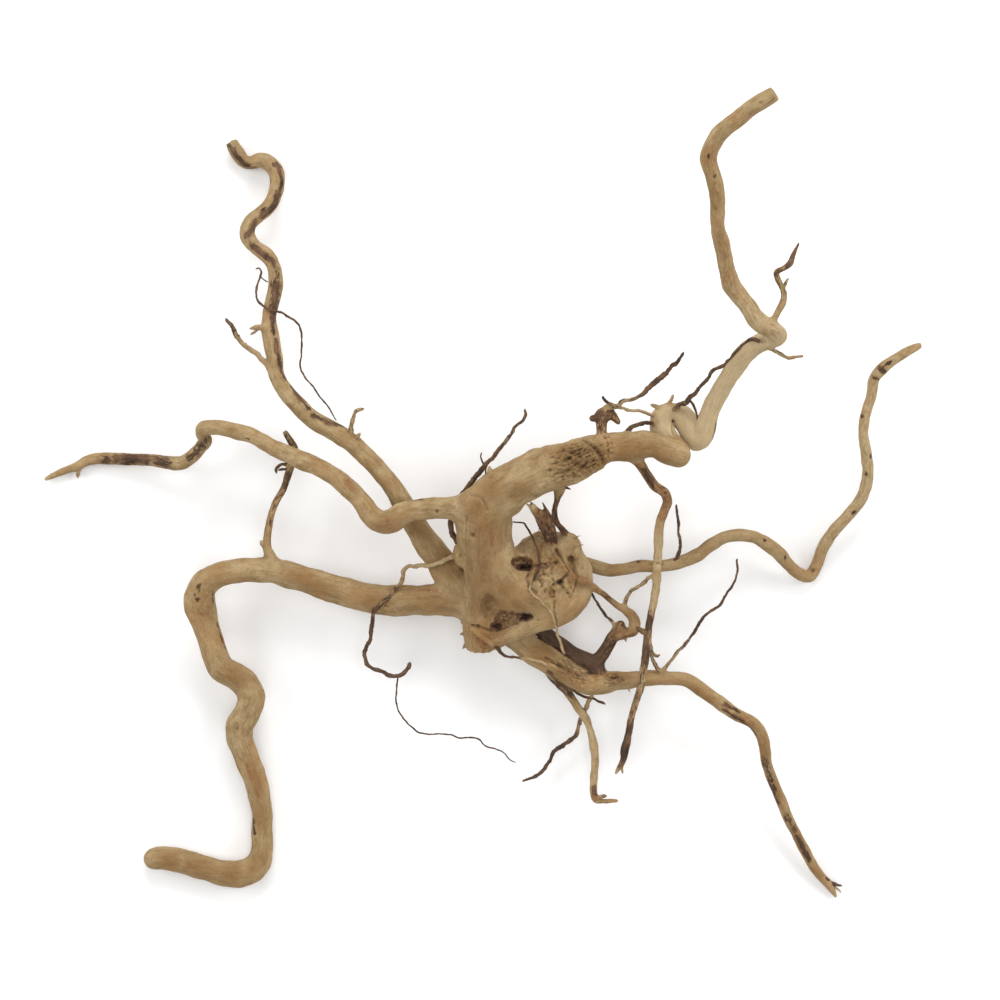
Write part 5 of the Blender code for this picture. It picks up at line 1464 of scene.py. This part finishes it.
def wood_values(spots, parts, hollows, surface):
    """What the wood's material reads at each point."""
    wood = grain_of(parts, spots)
    grooves, _ = grooves_on(spots, surface, GROOVES)
    values = {
        "grain_here": wood["grain"][0],
        "grain_next": wood["grain"][1],
        "grain_mix": wood["mix"],
        # Painted shade in cracks and pits.
        "painted_cavity_shade": np.maximum(grooves, marks_on(spots, surface, parts, [pit[:4] for pit in PITS])),
        "craggy": marks_on(spots, surface, parts, [crag[0] for crag in CRAGS if crag[1] > CHINK_HEIGHT]),
    }
    for kind, marks in MARKS.items():
        base = per_part(parts, wood, kind)
        values[kind] = np.maximum(base, marks_on(spots, surface, parts, marks))
    values["bark"] = np.maximum(values["bark"], grooves_on(spots, surface, BARK_STRIPS)[0])
    for hollow in hollows:
        # The walls of hollows get rust and painted shade.
        wall = np.clip(MARK_STEEPNESS - np.abs(hollow.gap(spots)) / HOLLOW_WALL, 0, 1)
        for name, amount in zip(("rust", "painted_cavity_shade"), HOLLOW_WALLS.get(hollow.name, (0, 0))):
            values[name] = np.maximum(values[name], wall * amount)
    return values


def main_piece(parts, material):
    """The hub and the thick limbs, grown together as one surface."""
    points, faces = grown_surface(parts)
    points = smoothed(points, faces, *SURFACE_SMOOTHING)
    surface = Surface(points, faces)
    everything = parts["front"] + parts["back"]
    wood = grain_of(everything, points)
    depth = relief(points, everything, wood)
    depth += grooves_on(points, surface, RIDGES)[1] - grooves_on(points, surface, GROOVES)[1]
    for mark, height, width, length in CRAGS:
        near = marks_on(points, surface, everything, [mark])
        rough = -ridged(wood, width, length, 7) - 0.5 + 0.5 * noise(points / width, 8)
        depth -= height * np.clip(CRAG_STEEPNESS * near, 0, 1) * rough
    for mark, height, size in PLATES:
        near = np.clip(MARK_STEEPNESS * marks_on(points, surface, everything, [mark]), 0, 1)
        rows = np.flatnonzero(near > 0)
        warped = points[rows] + PLATE_WARP * noise(points[rows] / PLATE_WARP_LENGTH, 9)[:, None]
        depth[rows] += height * near[rows] * plates(warped, size, 5)
    for pit in PITS:
        near = marks_on(points, surface, everything, [pit[:4]])
        depth -= pit[4] * np.clip(MARK_STEEPNESS * near, 0, 1) ** 2
    points = points + normals_of(points, faces) * depth[:, None]
    points = smoothed(points, faces, *RELIEF_SMOOTHING)
    # How far each point lies sunk below the levelled surface, for the material's painted shade and painted
    # light.
    level = smoothed(points, faces, round((DIP_REACH / GRID_STEP) ** 2), LEVELLING_SHARE)
    dip = ((level - points) * normals_of(points, faces)).sum(axis=1)
    mesh = thinned(points, faces, MAIN_TRIANGLES)
    spots = points_of(mesh)
    values = wood_values(spots, everything, parts["hollows"], surface)
    values["dip"] = dip[nearest_rows(points, spots)]
    return finish_piece("branchwood_main", mesh, material, values), Surface(points, faces)


def crooked(limb):
    """The points and radii along a twig, with its small kinks and knobs."""
    ends = np.clip(limb.walked / TWIG_KINK_FADE, 0, 1)
    large = np.column_stack([noise(limb.spots / LARGE_BEND_LENGTH, seed) for seed in (11, 12, 13)])
    small = np.column_stack([noise(limb.spots / SMALL_BEND_LENGTH, seed) for seed in (21, 22, 23)])
    size = TWIG_BEND + TWIG_BEND_GROWTH * np.minimum(limb.radii, THICKEST_TWIG)
    spots = limb.spots + (ends * size)[:, None] * (large + SMALL_BEND_SHARE * small)
    left = limb.length - limb.walked
    knobs = 1 + KNOB_HEIGHT * noise(limb.spots / KNOB_LENGTH, 14)
    return spots, limb.radii * knobs * np.clip(TWIG_TIP_SHARE + left / TWIG_TIP_LENGTH, 0, 1)


def tube(limb):
    """The points, faces and values of a thin twig's tapering tube."""
    sides = TWIG_SIDES
    angles = np.arange(sides) * 2 * math.pi / sides
    ring = np.column_stack([np.cos(angles), np.sin(angles)])
    spots, radii = crooked(limb)
    grain = ring[None] * radii[:, None, None]
    out = grain[:, :, :1] * limb.sides[:, None] + grain[:, :, 1:] * limb.others[:, None]
    facets = 1 + FACET_HEIGHT * noise((spots[:, None] + out).reshape(-1, 3) / FACET_SIZE, 15)
    points = spots[:, None] + out * facets.reshape(len(spots), sides, 1)
    count = len(spots)
    index = np.arange(count * sides).reshape(count, sides)
    after = np.roll(index, -1, axis=1)
    walls = np.stack([index[:-1], after[:-1], after[1:], index[1:]], axis=-1).reshape(-1, 4)
    tips = np.array([spots[0] - limb.headings[0] * TWIG_CAP, spots[-1] + limb.headings[-1] * TWIG_CAP])
    start_tip, end_tip = count * sides, count * sides + 1
    caps = [(start_tip, b, a) for a, b in zip(index[0], after[0])]
    caps += [(end_tip, a, b) for a, b in zip(index[-1], after[-1])]
    walked = np.repeat(limb.walked[:, None, None], sides, axis=1)
    coordinates = np.concatenate([grain, walked], axis=-1).reshape(-1, 3)
    return {
        "points": np.vstack([points.reshape(-1, 3), tips]),
        "faces": walls.tolist() + caps,
        "grain": np.vstack([coordinates, (0, 0, 0), (0, 0, limb.length)]),
    }


def laid_line(name, surface):
    """A thin twig's line, lifted on to the wood below it where it lies on it."""
    rows = smooth_line(np.array(ROUTES[name], float))
    if name in LAID_TWIGS:
        for row in rows:
            hit = surface.seen_at(row[0], row[1])
            rise = hit[2] + TABLE_HEIGHT + LAID_LIFT * row[3] - row[2] if hit else 0
            if 0 < rise < LAID_REACH:
                row[2] += rise
    return placed(rows)


def twigs_piece(name, limbs, material):
    """Thin twigs, each a closed tube of its own, in one object."""
    points, faces, grain, traits = [], [], [], {kind: [] for kind in MARKS}
    start = 0
    for number, limb in enumerate(limbs):
        shape = tube(limb)
        count = len(shape["points"])
        points.append(shape["points"])
        faces += [tuple(corner + start for corner in face) for face in shape["faces"]]
        grain.append(shape["grain"] + (0, 0, GRAIN_OFFSET * number))
        shares = (shape["grain"] / limb.length)[:, 2]
        for kind, values in traits.items():
            values.append(trait_along(limb.name, kind, TWIG_TRAITS[kind], shares))
        start += count
    mesh = bpy.data.meshes.new(name)
    mesh.from_pydata((np.vstack(points) * MM).tolist(), [], faces)
    values = {"grain_here": np.vstack(grain), "grain_next": np.vstack(grain)}
    values.update({kind: np.zeros(start) for kind in ("grain_mix", "painted_cavity_shade", "craggy", "dip")})
    values.update({kind: np.concatenate(amounts) for kind, amounts in traits.items()})
    return finish_piece(name, mesh, material, values)


# Materials

# How ragged a mark's edge is, how shiny the wood is, and how high its finest relief is, in mm.
EDGE_RAGGEDNESS = 1.1
WOOD_SPECULAR = 0.12
BUMP_STRENGTH = 0.7
BUMP_HEIGHT = 0.4
WOOD_FIBRE_CONTRAST = 0.14
TWIG_FIBRE_CONTRAST = 0.25


class Nodes:
    """Short ways to add and join the nodes of a material."""

    def __init__(self, name):
        self.material = bpy.data.materials.new(name)
        self.material.use_nodes = True
        self.tree = self.material.node_tree
        self.shader = self.tree.nodes["Principled BSDF"]

    def add(self, kind, inputs, **settings):
        made = self.tree.nodes.new(kind)
        for name, value in settings.items():
            setattr(made, name, value)
        for name, value in inputs.items():
            self.set(made.inputs[name], value)
        return made

    def set(self, socket, value):
        if isinstance(value, bpy.types.NodeSocket):
            self.tree.links.new(value, socket)
        else:
            socket.default_value = value

    def value(self, name):
        return self.add("ShaderNodeAttribute", {}, attribute_name=name).outputs["Fac"]

    def vector(self, name):
        return self.add("ShaderNodeAttribute", {}, attribute_name=name).outputs["Vector"]

    def math(self, operation, a, b=0.0, clamp=False):
        made = self.add("ShaderNodeMath", {0: a, 1: b}, operation=operation, use_clamp=clamp)
        return made.outputs[0]

    def times(self, a, b):
        return self.math("MULTIPLY", a, b)

    def steps(self, value, low, high, to_low=0.0, to_high=1.0):
        """The value stretched smoothly from low..high to to_low..to_high."""
        inputs = {"Value": value, 1: low, 2: high, 3: to_low, 4: to_high}
        made = self.add("ShaderNodeMapRange", inputs, interpolation_type="SMOOTHSTEP")
        return made.outputs["Result"]

    def blend(self, share, a, b, mode="MIX"):
        """Colour a turned into b."""
        made = self.add("ShaderNodeMix", {0: share, 6: a, 7: b}, data_type="RGBA", blend_type=mode)
        return made.outputs[2]

    def coat(self, tone, where, strength, colour):
        """The tone with a coat of a colour, of this strength where it lies."""
        return self.blend(self.times(where, strength), tone, colour)

    def shaded(self, tone, amount):
        """The tone made darker or lighter by a factor."""
        return self.blend(1.0, tone, amount, mode="MULTIPLY")

    def between(self, share, a, b):
        """Number a turned into b."""
        return self.add("ShaderNodeMix", {0: share, 2: a, 3: b}, data_type="FLOAT").outputs[0]

    def lumps(self, size, detail=2.0, roughness=0.5, distortion=0.0):
        """Noise with lumps of this size in mm, the same along the grain and across."""
        place = self.add("ShaderNodeTexCoord", {}).outputs["Object"]
        inputs = {"Vector": place, "Scale": 1 / (size * MM), "Detail": detail}
        inputs.update({"Roughness": roughness, "Distortion": distortion})
        return self.add("ShaderNodeTexNoise", inputs).outputs["Fac"]

    def fibres(self, width, length, detail=2.0, roughness=0.5, distortion=0.0):
        """Noise drawn out along the grain, in mm."""
        found = []
        for name in ("grain_here", "grain_next"):
            scale = (1 / width, 1 / width, 1 / length)
            place = self.add(
                "ShaderNodeVectorMath", {0: self.vector(name), 1: scale}, operation="MULTIPLY"
            )
            inputs = {"Vector": place.outputs[0], "Scale": 1.0, "Detail": detail}
            inputs.update({"Roughness": roughness, "Distortion": distortion})
            found.append(self.add("ShaderNodeTexNoise", inputs).outputs["Fac"])
        return self.between(self.value("grain_mix"), *found)

    def edge(self, ragged):
        """What makes a mark's edge ragged, added to its stored nearness."""
        return self.times(self.math("SUBTRACT", ragged, 0.5), EDGE_RAGGEDNESS)

    def patch(self, name, ragged, softness=0.05):
        """Where a mark lies: its stored nearness with a ragged edge."""
        near = self.math("ADD", self.value(name), self.edge(ragged))
        return self.steps(near, 0.5 - softness, 0.5 + softness)


def wood_material(name, colours, fibre_contrast):
    """Sand-blasted wood with rust, pale wood and bark where its points say, painted shade in hollows,
    cracks, pits, chinks, sunk places and shade patches, and painted light on raised places.
    """
    nodes = Nodes(name)
    broad = nodes.lumps(8.0, detail=4.0, roughness=0.6)
    mottle = nodes.fibres(3.2, 8.0, detail=4.0, roughness=0.62, distortion=0.6)
    streaks = nodes.fibres(1.6, 24.0, detail=3.0, distortion=0.4)
    fine = nodes.fibres(0.55, 7.0, detail=3.0, roughness=0.6)
    pores = nodes.fibres(0.30, 2.2, detail=1.0)
    ragged = nodes.fibres(1.2, 3.0, detail=5.0, roughness=0.68, distortion=0.5)
    grain = nodes.lumps(0.9, detail=3.0, roughness=0.65)
    dip = nodes.value("dip")

    # The bare wood
    tone = nodes.blend(nodes.steps(broad, 0.34, 0.66), colours["mid"], colours["light"])
    tone = nodes.blend(nodes.steps(mottle, 0.46, 0.7, 0.0, 0.58), tone, colours["brown"])
    tone = nodes.blend(nodes.steps(streaks, 0.54, 0.76, 0.0, 0.42), tone, colours["brown"])
    warm = nodes.lumps(19.0, detail=3.0)
    tone = nodes.blend(nodes.steps(warm, 0.45, 0.68, 0.0, 0.6), tone, colours["warm"])
    # Painted shade in marked patches, partly also a darker, warmer tone of the wood.
    shade = nodes.patch("shade", broad, 0.4)
    tone = nodes.coat(tone, shade, 0.66, colours["shade"])
    speck = nodes.steps(pores, 0.66, 0.74, 0.0, 0.55)
    tone = nodes.blend(speck, tone, colours["pore_and_painted_shade"])

    # Rusty and pale wood, the fibres, painted light on what stands out and painted shade in what lies sunk
    rust = nodes.patch("rust", ragged, 0.15)
    rust_tone = nodes.blend(nodes.steps(mottle, 0.35, 0.65), colours["rust"], colours["rust_light"])
    tone = nodes.coat(tone, rust, 0.75, rust_tone)
    pale = nodes.patch("pale", ragged, 0.25)
    tone = nodes.coat(tone, pale, 0.8, colours["pale"])
    fibre = nodes.steps(fine, 0.25, 0.75, 1 - fibre_contrast, 1 + fibre_contrast * 0.6)
    tone = nodes.shaded(tone, fibre)
    tone = nodes.shaded(tone, nodes.steps(grain, 0.3, 0.7, 0.92, 1.06))
    # Painted light on what stands out, and painted shade in what lies sunk.
    painted_light_raised = nodes.steps(dip, -0.35, -0.03, 1.14, 1.0)
    tone = nodes.shaded(tone, painted_light_raised)
    painted_shade_sunk = nodes.steps(dip, 0.05, 0.6, 0.0, 0.75)
    tone = nodes.blend(painted_shade_sunk, tone, colours["pore_and_painted_shade"])

    # Bark, with a stain round it
    near_bark = nodes.math("ADD", nodes.value("bark"), nodes.edge(ragged))
    tone = nodes.blend(nodes.steps(near_bark, 0.28, 0.56, 0.0, 0.6), tone, colours["stain"])
    bark = nodes.patch("bark", ragged, 0.04)
    bark_tone = nodes.blend(nodes.steps(mottle, 0.35, 0.68), colours["bark"], colours["bark_light"])
    bark_tone = nodes.shaded(bark_tone, nodes.steps(fine, 0.3, 0.7, 0.8, 1.3))
    bark_tone = nodes.shaded(bark_tone, nodes.steps(broad, 0.38, 0.62, 0.6, 1.15))
    # Painted shade on the bark too, where the shade patches lie.
    bark_tone = nodes.coat(bark_tone, shade, 0.65, colours["bark"])
    tone = nodes.coat(tone, bark, 0.92, bark_tone)

    # Painted shade in the chinks of rough ground, and in hollows, cracks and pits
    worn = nodes.fibres(1.1, 4.0, detail=3.0, roughness=0.55, distortion=0.8)
    shaded_chink = nodes.math("ABSOLUTE", nodes.math("SUBTRACT", worn, 0.5))
    shaded_chink = nodes.steps(shaded_chink, 0.01, 0.05, 1.0, 0.0)
    shaded_chink = nodes.times(shaded_chink, nodes.steps(nodes.value("craggy"), 0.25, 0.75))
    # Painted shade in the chinks.
    tone = nodes.coat(tone, shaded_chink, 0.5, colours["pore_and_painted_shade"])
    # Painted shade in hollows, cracks and pits, mottled.
    depth = nodes.math("ADD", nodes.value("painted_cavity_shade"), nodes.edge(ragged))
    painted_cavity_shade = nodes.steps(depth, 0.35, 0.95)
    painted_cavity_shade_tone = nodes.blend(nodes.steps(mottle, 0.35, 0.65), colours["painted_cavity_shade"], colours["painted_cavity_shade_pale"])
    tone = nodes.blend(painted_cavity_shade, tone, painted_cavity_shade_tone)
    nodes.set(nodes.shader.inputs["Base Color"], tone)

    # Gloss and fine relief
    rough = nodes.steps(streaks, 0.2, 0.8, 0.68, 0.82)
    nodes.set(nodes.shader.inputs["Roughness"], nodes.between(bark, rough, 0.6))
    nodes.shader.inputs["Specular IOR Level"].default_value = WOOD_SPECULAR

    height = nodes.times(fine, 0.5)
    height = nodes.math("SUBTRACT", height, nodes.times(speck, 0.35))
    height = nodes.math("SUBTRACT", height, nodes.times(shaded_chink, 1.2))
    height = nodes.math("ADD", height, nodes.times(grain, 0.5))
    height = nodes.math("ADD", height, nodes.times(bark, 0.6))
    inputs = {"Strength": BUMP_STRENGTH, "Distance": BUMP_HEIGHT * MM, "Height": height}
    bump = nodes.add("ShaderNodeBump", inputs)
    nodes.set(nodes.shader.inputs["Normal"], bump.outputs["Normal"])
    return nodes.material


# Light, floor and camera

# The world's strength, the side of each square light in metres, and the lights as (place, watts).
WORLD_STRENGTH = 0.4
LIGHT_SIZE = 1.6
LIGHTS = {
    "top": ((0.0, 0.0, 2.8), 20.0),
    "left": ((-2.6, 0.7, 1.9), 36.0),
    "right": ((2.7, 0.8, 1.9), 43.0),
    "far": ((0.2, 2.8, 2.0), 54.0),
    "near": ((0.0, -2.6, 2.0), 17.0),
}
WHITE = (1, 1, 1, 1)
FLOOR_SIZE = 6.0
FLOOR_COLOUR = (0.93, 0.93, 0.93, 1)
FLOOR_ROUGHNESS = 0.9
FLOOR_SPECULAR = 0.1
SENSOR_WIDTH = 36.0


def lay_floor():
    """A plain pale floor under the wood."""
    bpy.ops.mesh.primitive_plane_add(size=FLOOR_SIZE)
    floor = bpy.context.object
    floor.name = "floor"
    material = bpy.data.materials.new("pale_floor")
    material.use_nodes = True
    shader = material.node_tree.nodes["Principled BSDF"]
    shader.inputs["Base Color"].default_value = FLOOR_COLOUR
    shader.inputs["Roughness"].default_value = FLOOR_ROUGHNESS
    shader.inputs["Specular IOR Level"].default_value = FLOOR_SPECULAR
    floor.data.materials.append(material)


def shine(name, spot, size, power):
    """A soft square light, aimed at the wood."""
    light = bpy.data.lights.new(name, "AREA")
    light.size = size
    light.energy = power
    lamp = bpy.data.objects.new(name, light)
    lamp.location = spot
    lamp.rotation_euler = (-Vector(spot)).to_track_quat("-Z", "Y").to_euler()
    bpy.context.scene.collection.objects.link(lamp)


def light_the_scene():
    """A white world and soft lights all round."""
    world = bpy.data.worlds.new("studio")
    world.use_nodes = True
    background = world.node_tree.nodes["Background"]
    background.inputs["Color"].default_value = WHITE
    background.inputs["Strength"].default_value = WORLD_STRENGTH
    bpy.context.scene.world = world
    for name, (spot, power) in LIGHTS.items():
        shine(name, spot, LIGHT_SIZE, power)
    bpy.context.scene.view_settings.view_transform = "Standard"


def set_the_camera():
    """A camera straight above, framed as the photo is."""
    camera = bpy.data.cameras.new("camera")
    camera.sensor_width = SENSOR_WIDTH
    camera.lens = SENSOR_WIDTH * (EYE_HEIGHT - PICTURE_HEIGHT) / PICTURE_WIDTH
    eye = bpy.data.objects.new("camera", camera)
    eye.location = Vector((PICTURE_X, PICTURE_Y, EYE_HEIGHT - TABLE_HEIGHT)) * MM
    bpy.context.scene.collection.objects.link(eye)
    bpy.context.scene.camera = eye


# Making the wood


def grown_parts():
    """The limbs and masses of the main surface, and its hollows."""

    def limbs(table):
        return [Limb(name, smooth_line(placed(ROUTES[name])), *looks) for name, looks in table.items()]

    def masses(table, kind=Mass):
        return [kind(name, *sizes) for name, sizes in table.items()]

    parts = {
        "front": limbs(FRONT_LIMBS) + masses(FRONT_MASSES),
        "back": limbs(BACK_LIMBS) + masses(BACK_MASSES),
        "hollows": masses(HOLLOWS, Hollow),
    }
    for name, ends in THIN_TWIGS.items():
        for end in ends:
            line = smooth_line(placed(ROUTES[name]))
            if end == "end":
                line = line[::-1]
            line = line[Limb(name, line).walked <= COLLAR_LENGTH]
            line[:, 3] *= np.linspace(*COLLAR_SWELL, len(line))
            parts["back"].append(Limb(f"{name}_{end}_collar", line, COLLAR_BLEND))
    return parts


def build():
    """Both pieces of the wood, on the part's one body."""
    wood = wood_material("sand_blasted_wood", WOOD_COLOURS, WOOD_FIBRE_CONTRAST)
    main, surface = main_piece(grown_parts(), wood)
    limbs = [Limb(name, laid_line(name, surface)) for name in THIN_TWIGS]
    bark = wood_material("twig_bark", WOOD_COLOURS, TWIG_FIBRE_CONTRAST)
    twigs = twigs_piece("branchwood_twigs", limbs, bark)
    for piece in (main, twigs):
        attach(piece, "root")
    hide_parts("branchwood")


build()
lay_floor()
light_the_scene()
set_the_camera()
